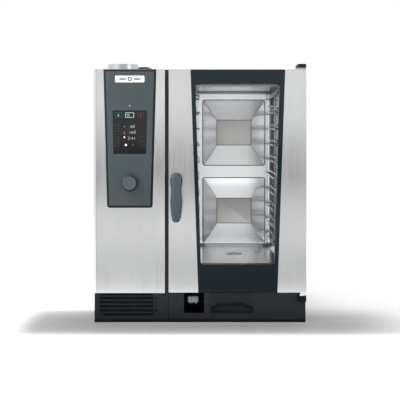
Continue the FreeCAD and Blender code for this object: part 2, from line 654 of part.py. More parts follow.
def convection_fan():
    """Fan wheel with its shaft, the motor outside the cabinet, and the ring heater."""
    wheel = [
        rod_x(150, -118, -116, FAN_DEPTH, FAN_Z),
        rod_x(150, -62, -60, FAN_DEPTH, FAN_Z).cut(rod_x(100, -70, -50, FAN_DEPTH, FAN_Z)),
        rod_x(20, -118, -84, FAN_DEPTH, FAN_Z),
        rod_x(8, -178, -110, FAN_DEPTH, FAN_Z),
    ]
    blades = 20
    middle = V(-90, y_at(FAN_DEPTH), FAN_Z)
    for i in range(blades):
        blade = box(-116, -62, FAN_DEPTH - 1, FAN_DEPTH + 1, FAN_Z + 104, FAN_Z + 146)
        blade.rotate(middle + V(0, 0, 125), RIGHT, 25)
        blade.rotate(middle, RIGHT, i * 360 / blades)
        wheel.append(blade)
    save("fan_wheel", fuse_all(wheel))
    motor = [rod_x(62, -300, -166, FAN_DEPTH, FAN_Z), rod_x(78, -166, -160, FAN_DEPTH, FAN_Z)]
    for a in (-48, 48):
        for b in (-48, 48):
            motor.append(rod_x(6, -166, CAVITY_X[0] - SHEET, FAN_DEPTH + a, FAN_Z + b))
    bore = rod_x(8 + RUNNING_GAP, -180, -150, FAN_DEPTH, FAN_Z)
    save("fan_motor", fuse_all(motor).cut(bore))
    heater = []
    for x in (-112, -97, -82):
        heater.append(Part.makeTorus(176, 4.5, V(x, y_at(FAN_DEPTH), FAN_Z), RIGHT))
    for turn in (30, 150, 270):
        bar = box(CAVITY_X[0], -76, FAN_DEPTH - 3, FAN_DEPTH + 3, FAN_Z + 174, FAN_Z + 186)
        bar.rotate(middle, RIGHT, turn)
        heater.append(bar)
    save("ring_heater", fuse_all(heater))


def steam_generator():
    """Hollow boiler tank behind the column with the steam pipe into the cabinet's fan side."""
    tank = box(-405, -215, 500, 730, DECK_Z[1], 400)
    tank = tank.makeFillet(18, edges_along(tank, UP, every))
    room = box(-403, -217, 502, 728, DECK_Z[1] + 2, 398)
    room = room.makeFillet(16, edges_along(room, UP, every))
    start, middle = 400, 470
    path = [
        V(-310, y_at(600), start),
        V(-310, y_at(600), middle),
        V(-195, y_at(600), middle),
        V(-195, y_at(600), 400),
        V(CAVITY_X[0], y_at(600), 400),
    ]
    pipe = bent_tube(17, path, [32, 32, 26])
    save("steam_generator", fuse_all([tank.cut(room), pipe]))


def insulation():
    """Mineral-wool slabs over, under, beside and behind the cabinet."""
    save(
        "insulation_slabs",
        box(-100, 420, 72, 770, 951, 1008),
        box(343, 421, 72, 690, 232, 949),
        box(-100, 421, 693, 770, 150, 949),
        box(-100, 112, 72, 690, 150, 228),
        box(188, 421, 72, 690, 150, 228),
    )


# ---- racks ----
def rack(side):
    """One hinged tray rack, side 1 on the right and -1 on the left; returns its wall brackets."""
    post_x = TRAY_X + side * RACK_POST_X
    rail_x = TRAY_X + side * RACK_RAIL_X
    front, middle, rear = RACK_POSTS
    z_low = RACK_LOWEST - 36
    z_high = RACK_LOWEST + RACK_PITCH * (RACK_LEVELS - 1) + 30
    posts = [rod_z(POST_R, post_x, depth, z_low, z_high) for depth in RACK_POSTS]
    outer_x = post_x + side * (POST_R + WIRE_R)
    guard_x = post_x - side * (POST_R + WIRE_R)
    wires = [rod_y(WIRE_R, outer_x, front - 4, rear - 22, z) for z in (z_low + 12, z_high - 12)]
    for level in range(RACK_LEVELS):
        z = RACK_LOWEST + RACK_PITCH * level
        path = [
            V(post_x, y_at(front), z),
            V(rail_x, y_at(front), z),
            V(rail_x, y_at(rear), z),
            V(post_x, y_at(rear), z),
        ]
        wires.append(cut_all(bent_tube(WIRE_R, path, [8, 8]), posts).Solids[0])
        wires.append(rod_y(WIRE_R, guard_x, front - 6, rear + 6, z + 15))
    save("rack_right" if side > 0 else "rack_left", *posts, *wires)
    wall_x = CAVITY_X[1] if side > 0 else BAFFLE_X + SHEET
    brackets = []
    for level in (0, RACK_LEVELS - 2):
        z = RACK_LOWEST + RACK_PITCH * level + 30
        span = sorted((post_x - side * 8, wall_x))
        eye = box(*span, rear - 8, rear + 8, z, z + 10)
        brackets.append(eye.cut(rod_z(POST_R + RUNNING_GAP, post_x, rear, z - 5, z + 15)))
        rest = sorted((post_x + side * (POST_R + 0.4), wall_x))
        brackets.append(box(*rest, front - 6, front + 6, z, z + 10))
    return brackets


# ---- door ----
def glass_edge(side, z):
    """X of the outer glass's slanting edge at a height, side -1 on the left and 1 on the right."""
    share = (z - GLASS_BOTTOM) / (DOOR_TOP - GLASS_BOTTOM)
    return GLASS_X + side * (GLASS_HALF[0] + share * (GLASS_HALF[1] - GLASS_HALF[0]))


def door_trim(side):
    """Folded steel cover beside the glass: slanting inner edge, side flange and two small lips."""
    gap = 1.0
    edge_x = HALF if side > 0 else DOOR_LEFT
    low = glass_edge(side, DOOR_BOTTOM) + side * gap
    high = glass_edge(side, DOOR_TOP) + side * gap
    corners = [(edge_x, DOOR_BOTTOM), (low, DOOR_BOTTOM), (high, DOOR_TOP), (edge_x, DOOR_TOP)]
    points = [V(x, y_at(0), z) for x, z in corners]
    sheets = [Part.Face(Part.makePolygon(points + points[:1])).extrude(V(0, SHEET, 0))]
    flange = sorted((edge_x, edge_x - side * SHEET))
    sheets.append(box(*flange, SHEET, LEAF_DEPTH[1], DOOR_BOTTOM, DOOR_TOP))
    for z, inner in ((DOOR_BOTTOM, low), (DOOR_TOP - SHEET, high)):
        reach = sorted((edge_x - side * SHEET, inner))
        sheets.append(box(*reach, SHEET, LEAF_DEPTH[0] - 0.5, z, z + SHEET))
    trim = fuse_all(sheets)
    bend = edges_along(trim, UP, lambda p: abs(p.x - edge_x) < 0.1 and p.y < y_at(0.1))
    trim = trim.makeFillet(1.4, bend)
    if side < 0:
        trim = trim.cut(rod_y(9, HANDLE_X, -5, 5, HANDLE_Z))
    return trim


def door_leaf():
    """Hollow door leaf with a slanting window, hinge blocks and a guide tube for the spindle."""
    near, far = LEAF_DEPTH
    skin = 2.0
    x0, x1 = DOOR_LEFT + SHEET, HALF - SHEET
    z0, z1 = DOOR_BOTTOM + 1, DOOR_TOP - 1
    window = tapered(GLASS_X, WINDOW_HALF, WINDOW_Z)
    surround = tapered(GLASS_X, WINDOW_HALF, WINDOW_Z, skin)
    leaf = box(x0, x1, near, far, z0, z1)
    bed_halves = (GLASS_HALF[0] - 2, GLASS_HALF[1] - 2)
    bed = front_plate(tapered(GLASS_X, bed_halves, (GLASS_BOTTOM + 1, z1 - 2)), 1, GLASS_BED, near)
    hollow = box(x0 + skin, x1 - skin, near + skin, far - skin, z0 + skin, z1 - skin)
    solid_parts = [
        front_plate(surround, 10, near, far),
        box(HINGE_X - 14, x1, near, far, z0, 152),
        box(HINGE_X - 14, x1, near, far, 984, z1),
        rod_y(12, HANDLE_X, near, far, HANDLE_Z),
    ]
    leaf = fuse_all([leaf.cut(cut_all(hollow, solid_parts)), bed])
    holes = [
        front_plate(window, 8, 0, 60),
        rod_z(HINGE_BUSH_R, HINGE_X, HINGE_DEPTH, 986, 1020),
        rod_z(HINGE_BUSH_R, HINGE_X, HINGE_DEPTH, 120, 150),
        rod_y(SPINDLE_R + RUNNING_GAP, HANDLE_X, 0, 60, HANDLE_Z),
    ]
    save("door_frame", cut_all(leaf, holes))


def door():
    """Hinged door: steel covers, tapering outer glass, leaf, inner pane and bottom strip."""
    save("door_trim_left", door_trim(-1))
    save("door_trim_right", door_trim(1))
    pane = tapered(GLASS_X, GLASS_HALF, (GLASS_BOTTOM, DOOR_TOP - 0.5))
    save("door_glass_outer", front_plate(pane, 1.5, -1.5, GLASS_BED))
    door_leaf()
    save("door_glass_inner", front_plate(rectangle(-70, 370, 200, 980), 6, *INNER_PANE_DEPTH))
    save("door_bottom_strip", box(-4, 306, 0, LEAF_DEPTH[0], DOOR_BOTTOM, GLASS_BOTTOM - 0.3))


def hinges():
    """Upper and lower hinge brackets with their pins, the bushes in the leaf and the upper cap."""
    clearance = rod_z(HINGE_PIN_R + RUNNING_GAP, HINGE_X, HINGE_DEPTH, 100, 1030)
    bushes = []
    for z0, z1 in ((DOOR_BOTTOM + 1, 150), (986, DOOR_TOP - 1)):
        bushes.append(rod_z(HINGE_BUSH_R, HINGE_X, HINGE_DEPTH, z0, z1).cut(clearance))
    save("hinge_bushes", *bushes)
    arm = box(392, 424, 8, 112, BODY_HEIGHT, 1020)
    save("hinge_bracket_top", arm.fuse(rod_z(HINGE_PIN_R, HINGE_X, HINGE_DEPTH, 990, 1015)))
    cap = box(391, 425, 6, 114, 1020, 1035.5)
    cap = cap.makeFillet(6, edges_along(cap, UP, every))
    rim = [e for e in cap.Edges if e.BoundBox.ZMin > 1035.4]
    save("hinge_cap_top", cap.makeFillet(2.5, rim))
    left, foot = HINGE_BLOCK_X[0], HINGE_BLOCK_Z[0]
    block = box(*HINGE_BLOCK_X, *HINGE_BLOCK_DEPTH, *HINGE_BLOCK_Z)
    block = block.makeFillet(5, edges_along(block, UP, lambda p: p.y < y_at(10)))
    lower = [
        block,
        box(left, BASE_HALF - 2, 60, 130, foot, DECK_Z[0]),
        rod_z(13, HINGE_X, HINGE_DEPTH, 107, 116),
        rod_z(10, HINGE_X, HINGE_DEPTH, 115, DOOR_BOTTOM - 0.5),
        rod_z(HINGE_PIN_R, HINGE_X, HINGE_DEPTH, 110, 146),
    ]
    save("hinge_bracket_bottom", fuse_all(lower))


def handle():
    """Door handle with its boss, and the spindle that carries the eccentric latch roller."""
    wires = []
    for rise, half, front, back in (LOBE_TIP, LOBE_SHOULDER, LOBE, WAIST, BELLY, TAPER, GRIP_END):
        corners = [(-half, -front), (half, -front), (half, -back), (-half, -back)]
        radius = min(half, (front - back) / 2) * 0.72
        level = HANDLE_Z + rise

        def place(p, level=level):
            return V(HANDLE_X + p.x, y_at(p.y), level)

        wires.append(rounded_loop(corners, [radius] * 4, place))
    lever = Part.makeLoft(wires, True, False)
    lever = fuse_all([lever, rod_y(19, HANDLE_X, -32, -1, HANDLE_Z)])
    save("handle_lever", lever.cut(rod_y(SPINDLE_R, HANDLE_X, -26, 0, HANDLE_Z)))
    spindle = rod_y(SPINDLE_R, HANDLE_X, -26, 63, HANDLE_Z)
    arm = box(HANDLE_X - 9, HANDLE_X + 15, 62, 66, HANDLE_Z - 9, HANDLE_Z + 9)
    roller = rod_y(7, HANDLE_X + 8, 65, 82, HANDLE_Z)
    save("latch_spindle", fuse_all([spindle, arm, roller]))


# ---- services ----
def flue_and_vent():
    """Round flue collar and the capped vent beside it on the top cover."""
    flue = rod_z(FLUE_R, FLUE_X, FLUE_DEPTH, 985, TOTAL_HEIGHT)
    flange = rod_z(FLUE_R + 6, FLUE_X, FLUE_DEPTH, BODY_HEIGHT, BODY_HEIGHT + 2)
    bore = rod_z(FLUE_R - 2, FLUE_X, FLUE_DEPTH, 980, 1070)
    save("flue_collar", fuse_all([flue, flange]).cut(bore))
    pipe_r, hat_r, hat_low, hat_high = 22.0, 58.0, 1046.0, 1061.0
    origin = V(VENT_X, y_at(VENT_DEPTH), hat_low)
    hat = Part.makeCone(hat_r, pipe_r, hat_high - hat_low, origin, UP)
    under = Part.makeCone(hat_r - 3, pipe_r - 1, hat_high - hat_low - SHEET, origin, UP)
    pipe = rod_z(pipe_r, VENT_X, VENT_DEPTH, 990, 1053).cut(rod_z(20.5, VENT_X, VENT_DEPTH, 980, 1060))
    flange = rod_z(34, VENT_X, VENT_DEPTH, BODY_HEIGHT, BODY_HEIGHT + 2)
    flange = flange.cut(rod_z(21, VENT_X, VENT_DEPTH, 1000, 1030))
    pieces = [hat.cut(under), pipe, flange]
    for turn in (0, 120, 240):
        strut = box(VENT_X + 20.5, VENT_X + 24, VENT_DEPTH - 2, VENT_DEPTH + 2, 1048, 1060)
        strut.rotate(V(VENT_X, y_at(VENT_DEPTH), 0), UP, turn)
        pieces.append(strut)
    save("vent_hat", fuse_all(pieces))


def water_and_power():
    """Two water valves, the drain pipe and the cable gland, all ending in the recess at the back."""
    spigot = SERVICE_WALL + 3
    valves = []
    for x in INLETS_X:
        body = [
            box(x - 22, x + 22, 640, 685, RAIL_HEIGHT + 2, 92),
            rod_z(15, x, 662, 91, 114),
            rod_y(12.4, x, 684, spigot + 1, PIPE_Z),
            rod_y(13.2, x, spigot, spigot + 40, PIPE_Z),
        ]
        valves.append(fuse_all(body).cut(rod_y(9, x, 700, 775, PIPE_Z)))
    save("water_valves", *valves)
    bend, end = 45, spigot + 69
    top = V(TRAY_X, y_at(DRAIN_DEPTH), CAVITY_Z[0] - SHEET)
    corner = V(TRAY_X, y_at(DRAIN_DEPTH), PIPE_Z)
    outlet = V(TRAY_X, y_at(end), PIPE_Z)
    sleeve = rod_y(25, TRAY_X, spigot, end, PIPE_Z)
    pipe = fuse_all([bent_tube(24, [top, corner, outlet], [bend]), sleeve])
    bore = bent_tube(22, [top + V(0, 0, 5), corner, outlet + V(0, 5, 0)], [bend])
    save("drain_pipe", pipe.cut(bore))
    gland = [rod_y(16, GLAND_X, 684, 709, PIPE_Z), rod_y(21, GLAND_X, SERVICE_WALL + 2, 724, PIPE_Z)]
    save("cable_gland", fuse_all(gland).cut(rod_y(9, GLAND_X, 680, 730, PIPE_Z)))


def main():
    os.makedirs("parts", exist_ok=True)
    plinth_rails()
    base_tray()
    base_fronts()
    intake_grille()
    cooling_fan()
    care_drawer()
    shower_niche()
    hand_shower()
    hose_reel()
    side_panel_left()
    casing()
    column_front()
    control_panel()
    control_board()
    dial()
    chassis_frame()
    door_gasket()
    latch_receiver()
    cabinet()
    fan_baffle()
    convection_fan()
    steam_generator()
    insulation()
    save("rack_brackets", *rack(-1), *rack(1))
    door()
    hinges()
    handle()
    flue_and_vent()
    water_and_power()


main()
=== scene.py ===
"""Table-top combi steamer oven: finishes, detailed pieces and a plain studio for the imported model."""

import json
import math

import bmesh
import bpy
from bpy.props import FloatProperty, FloatVectorProperty, PointerProperty
from mathutils import Matrix, Vector


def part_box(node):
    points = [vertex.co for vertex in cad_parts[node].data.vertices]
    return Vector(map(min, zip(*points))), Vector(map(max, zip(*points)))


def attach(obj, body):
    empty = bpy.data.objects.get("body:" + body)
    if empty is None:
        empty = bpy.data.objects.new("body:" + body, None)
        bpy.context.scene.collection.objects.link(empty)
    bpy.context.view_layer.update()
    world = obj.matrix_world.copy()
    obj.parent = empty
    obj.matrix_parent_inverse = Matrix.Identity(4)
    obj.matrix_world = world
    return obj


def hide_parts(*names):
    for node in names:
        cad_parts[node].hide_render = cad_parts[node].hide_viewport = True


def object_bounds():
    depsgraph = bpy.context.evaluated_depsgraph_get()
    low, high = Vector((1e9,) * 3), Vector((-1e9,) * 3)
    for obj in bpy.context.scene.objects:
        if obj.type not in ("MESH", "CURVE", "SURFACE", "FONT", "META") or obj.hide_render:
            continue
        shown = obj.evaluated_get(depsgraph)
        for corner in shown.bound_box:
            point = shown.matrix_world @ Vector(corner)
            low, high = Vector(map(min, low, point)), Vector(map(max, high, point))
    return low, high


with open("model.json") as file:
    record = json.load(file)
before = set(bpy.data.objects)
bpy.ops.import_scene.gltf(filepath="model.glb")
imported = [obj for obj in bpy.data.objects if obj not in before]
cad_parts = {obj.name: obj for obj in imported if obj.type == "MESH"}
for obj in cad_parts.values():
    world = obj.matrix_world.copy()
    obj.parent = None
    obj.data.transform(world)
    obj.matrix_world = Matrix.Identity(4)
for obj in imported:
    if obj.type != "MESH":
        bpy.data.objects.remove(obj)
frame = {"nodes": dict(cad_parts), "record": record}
CAD_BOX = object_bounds()

bl_info = {
    "name": "Combi Steamer Oven",
    "version": (1, 0, 0),
    "blender": (4, 5, 0),
    "location": "View3D > Sidebar > Oven",
    "description": "Dresses the packed combi steamer with its finishes and detailed pieces",
    "category": "Object",
}

MM = 0.001
FULL_TURN = math.tau


# ---- shader building ----
def put(tree, kind, links=None, **settings):
    """A new node with its settings, whose inputs are linked to sockets or set to values."""
    made = tree.nodes.new(kind)
    for name, value in settings.items():
        setattr(made, name, value)
    for name, value in (links or {}).items():
        if isinstance(value, bpy.types.NodeSocket):
            tree.links.new(value, made.inputs[name])
        else:
            made.inputs[name].default_value = value
    return made


def calc(tree, operation, first, second=0.0, clamp=False):
    links = {0: first, 1: second}
    return put(tree, "ShaderNodeMath", links, operation=operation, use_clamp=clamp).outputs[0]


def blend_colour(tree, factor, first, second, mode="MIX"):
    links = {0: factor, 6: first, 7: second}
    return put(tree, "ShaderNodeMix", links, data_type="RGBA", blend_type=mode).outputs[2]


def spread(tree, value, low, high):
    """Turns a 0 to 1 value into one between low and high."""
    links = {"Value": value, "To Min": low, "To Max": high}
    return put(tree, "ShaderNodeMapRange", links).outputs["Result"]


def own_place(tree):
    return put(tree, "ShaderNodeTexCoord").outputs["Object"]


def noise(tree, place, scale, detail, distortion=0.0):
    links = {"Vector": place, "Scale": scale, "Detail": detail, "Distortion": distortion}
    return put(tree, "ShaderNodeTexNoise", links).outputs[0]


def new_group(name, inputs, outputs):
    group = bpy.data.node_groups.new(name, "ShaderNodeTree")
    for label, kind, default in inputs:
        socket = group.interface.new_socket(label, in_out="INPUT", socket_type="NodeSocket" + kind)
        socket.default_value = default
    for label, kind in outputs:
        group.interface.new_socket(label, in_out="OUTPUT", socket_type="NodeSocket" + kind)
    entry = group.nodes.new("NodeGroupInput")
    leave = group.nodes.new("NodeGroupOutput")
    return group, entry.outputs, leave.inputs


def brushed_grain():
    """Long fine streaks of brushed sheet metal, with faint wiped patches."""
    name = "Brushed grain"
    if name in bpy.data.node_groups:
        return bpy.data.node_groups[name]
    group, given, result = new_group(
        name,
        [
            ("Colour", "Color", (0.6, 0.6, 0.6, 1)),
            ("Roughness", "Float", 0.2),
            ("Grain", "Vector", (400, 400, 3)),
            ("Contrast", "Float", 0.05),
            ("Depth", "Float", 0.1),
        ],
        [("Colour", "Color"), ("Roughness", "Float"), ("Normal", "Vector")],
    )
    place = own_place(group)
    laid = put(group, "ShaderNodeMapping", {"Vector": place, "Scale": given["Grain"]}).outputs[0]
    fine = noise(group, laid, 1.0, 4.0)
    wiped = noise(group, place, 5.0, 3.0)
    low = calc(group, "SUBTRACT", 1.0, given["Contrast"])
    high = calc(group, "ADD", 1.0, given["Contrast"])
    shade = spread(group, fine, low, high)
    tone = put(group, "ShaderNodeCombineColor", {0: shade, 1: shade, 2: shade}).outputs[0]
    tinted = blend_colour(group, 1.0, given["Colour"], tone, "MULTIPLY")
    group.links.new(tinted, result["Colour"])
    uneven = calc(group, "ADD", spread(group, fine, -0.05, 0.05), spread(group, wiped, -0.05, 0.05))
    group.links.new(calc(group, "ADD", given["Roughness"], uneven, clamp=True), result["Roughness"])
    links = {"Height": fine, "Strength": given["Depth"], "Distance": 0.0004}
    group.links.new(put(group, "ShaderNodeBump", links).outputs[0], result["Normal"])
    return group


def moulded_grain():
    """Fine spark-eroded grain of moulded or powder-coated surfaces, with a thin film of dust."""
    name = "Moulded grain"
    if name in bpy.data.node_groups:
        return bpy.data.node_groups[name]
    group, given, result = new_group(
        name,
        [
            ("Colour", "Color", (0.05, 0.05, 0.05, 1)),
            ("Roughness", "Float", 0.5),
            ("Grain", "Float", 900.0),
            ("Depth", "Float", 0.15),
            ("Wear", "Float", 0.1),
        ],
        [("Colour", "Color"), ("Roughness", "Float"), ("Normal", "Vector")],
    )
    place = own_place(group)
    fine = noise(group, place, given["Grain"], 2.0)
    cloud = noise(group, place, 7.0, 4.0)
    edge = put(group, "ShaderNodeNewGeometry").outputs["Pointiness"]
    rubbed = put(group, "ShaderNodeMapRange", {"Value": edge, "From Min": 0.52, "From Max": 0.62})
    worn = calc(group, "MULTIPLY", rubbed.outputs["Result"], given["Wear"])
    worn = calc(group, "MULTIPLY", worn, spread(group, cloud, 0.3, 1.6), clamp=True)
    shade = calc(group, "MULTIPLY", spread(group, fine, 0.93, 1.07), spread(group, cloud, 0.92, 1.08))
    tone = put(group, "ShaderNodeCombineColor", {0: shade, 1: shade, 2: shade}).outputs[0]
    tinted = blend_colour(group, 1.0, given["Colour"], tone, "MULTIPLY")
    group.links.new(blend_colour(group, worn, tinted, (0.45, 0.46, 0.47, 1)), result["Colour"])
    uneven = calc(group, "ADD", spread(group, fine, -0.04, 0.04), spread(group, cloud, -0.08, 0.08))
    group.links.new(calc(group, "ADD", given["Roughness"], uneven, clamp=True), result["Roughness"])
    links = {"Height": fine, "Strength": given["Depth"], "Distance": 0.0002}
    group.links.new(put(group, "ShaderNodeBump", links).outputs[0], result["Normal"])
    return group


def start_material(name):
    made = bpy.data.materials.new(name)
    made.use_nodes = True
    return made, made.node_tree, made.node_tree.nodes["Principled BSDF"]


def from_group(tree, group, values, shader):
    """Places a shared effect with this material's own values and feeds its results to the shader."""
    placed = tree.nodes.new("ShaderNodeGroup")
    placed.node_tree = group
    for label, value in values.items():
        placed.inputs[label].default_value = value
    tree.links.new(placed.outputs["Colour"], shader.inputs["Base Color"])
    tree.links.new(placed.outputs["Roughness"], shader.inputs["Roughness"])
    tree.links.new(placed.outputs["Normal"], shader.inputs["Normal"])


def metal(name, colour, roughness, grain=(160, 160, 1.5), contrast=0.03, depth=0.04):
    made, tree, shader = start_material(name)
    shader.inputs["Metallic"].default_value = 1.0
    values = {"Colour": (*colour, 1), "Roughness": roughness, "Grain": grain}
    values.update({"Contrast": contrast, "Depth": depth})
    from_group(tree, brushed_grain(), values, shader)
    return made


def moulded(name, colour, roughness, grain=900.0, depth=0.12, wear=0.08, gloss=0.5):
    made, tree, shader = start_material(name)
    shader.inputs["Specular IOR Level"].default_value = gloss
    values = {"Colour": (*colour, 1), "Roughness": roughness, "Grain": grain}
    values.update({"Depth": depth, "Wear": wear})
    from_group(tree, moulded_grain(), values, shader)
    return made


def pane(name, colour, clearness, roughness=0.03):
    """Thin clear glass with faint smears; clearness is how much it lets through."""
    made, tree, shader = start_material(name)
    place = own_place(tree)
    smear = noise(tree, place, 9.0, 5.0)
    shader.inputs["Base Color"].default_value = (*colour, 1)
    tree.links.new(spread(tree, smear, roughness, roughness + 0.05), shader.inputs["Roughness"])
    solid = spread(tree, smear, 1.0 - clearness - 0.01, 1.0 - clearness + 0.02)
    tree.links.new(solid, shader.inputs["Alpha"])
    return made


def printed_door_glass(name, colour):
    """Door glass: see-through in its tapering window, with a dark enamel print all round it."""
    made, tree, shader = start_material(name)
    low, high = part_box("door_glass_outer")
    finish = bpy.context.scene.oven_sizes
    centre = (low.x + high.x) / 2
    z0, z1 = finish.window_bottom, finish.window_top
    r = finish.window_corner
    place = own_place(tree)
    axes = put(tree, "ShaderNodeSeparateXYZ", {0: place}).outputs
    aside = calc(tree, "ABSOLUTE", calc(tree, "SUBTRACT", axes["X"], centre))
    slope = (finish.window_half_top - finish.window_half_bottom) / (z1 - z0)
    rise = calc(tree, "MULTIPLY", calc(tree, "SUBTRACT", axes["Z"], z0), slope)
    half = calc(tree, "ADD", rise, finish.window_half_bottom)
    past_side = calc(tree, "ADD", calc(tree, "SUBTRACT", aside, half), r)
    from_middle = calc(tree, "ABSOLUTE", calc(tree, "SUBTRACT", axes["Z"], (z0 + z1) / 2))
    past_end = calc(tree, "ADD", calc(tree, "SUBTRACT", from_middle, (z1 - z0) / 2), r)
    side = calc(tree, "MAXIMUM", past_side, 0.0)
    end = calc(tree, "MAXIMUM", past_end, 0.0)
    square = calc(tree, "ADD", calc(tree, "MULTIPLY", side, side), calc(tree, "MULTIPLY", end, end))
    beyond = calc(tree, "SUBTRACT", calc(tree, "SQRT", square), r)
    links = {"Value": beyond, "From Min": -0.0003, "From Max": 0.0003}
    print_mask = put(tree, "ShaderNodeMapRange", links).outputs["Result"]
    cloud = noise(tree, place, 8.0, 4.0)
    clear = (0.05, 0.07, 0.08, 1)
    enamel = blend_colour(tree, cloud, (*colour, 1), (*[c * 1.15 for c in colour], 1))
    shader_colour = blend_colour(tree, print_mask, clear, enamel)
    tree.links.new(shader_colour, shader.inputs["Base Color"])
    tree.links.new(spread(tree, cloud, 0.05, 0.11), shader.inputs["Roughness"])
    shader.inputs["Specular IOR Level"].default_value = 0.2
    tree.links.new(spread(tree, print_mask, 0.05, 1.0), shader.inputs["Alpha"])
    return made


def fibres(name, colour, second, scale=260.0):
    """Tangled fibres of a filter fleece or mineral wool."""
    made, tree, shader = start_material(name)
    place = own_place(tree)
    tangle = noise(tree, place, scale, 6.0, 1.5)
    mixed = blend_colour(tree, tangle, (*colour, 1), (*second, 1))
    tree.links.new(mixed, shader.inputs["Base Color"])
    tree.links.new(spread(tree, tangle, 0.85, 1.0), shader.inputs["Roughness"])
    links = {"Height": tangle, "Strength": 0.6, "Distance": 0.002}
    tree.links.new(put(tree, "ShaderNodeBump", links).outputs[0], shader.inputs["Normal"])
    return made


def circuit(name):
    """Green solder mask with lighter copper runs under it."""
    made, tree, shader = start_material(name)
    place = own_place(tree)
    runs = put(tree, "ShaderNodeTexVoronoi", {"Vector": place, "Scale": 120.0}, distance="MANHATTAN")
    mixed = blend_colour(tree, runs.outputs[0], (0.03, 0.2, 0.08, 1), (0.008, 0.06, 0.028, 1))
    tree.links.new(mixed, shader.inputs["Base Color"])
    tree.links.new(spread(tree, runs.outputs[0], 0.3, 0.5), shader.inputs["Roughness"])
    return made


def lit(name, colour, strength):
    """Backlit print of the display: colour that glows through a fine dot screen."""
    made, tree, shader = start_material(name)
    place = own_place(tree)
    dots = noise(tree, place, 1500.0, 1.0)
    mixed = blend_colour(tree, dots, (*[c * 0.8 for c in colour], 1), (*colour, 1))
    tree.links.new(mixed, shader.inputs["Emission Color"])
    tree.links.new(mixed, shader.inputs["Base Color"])
    tree.links.new(spread(tree, dots, 0.3, 0.4), shader.inputs["Roughness"])
    shader.inputs["Emission Strength"].default_value = strength
    return made


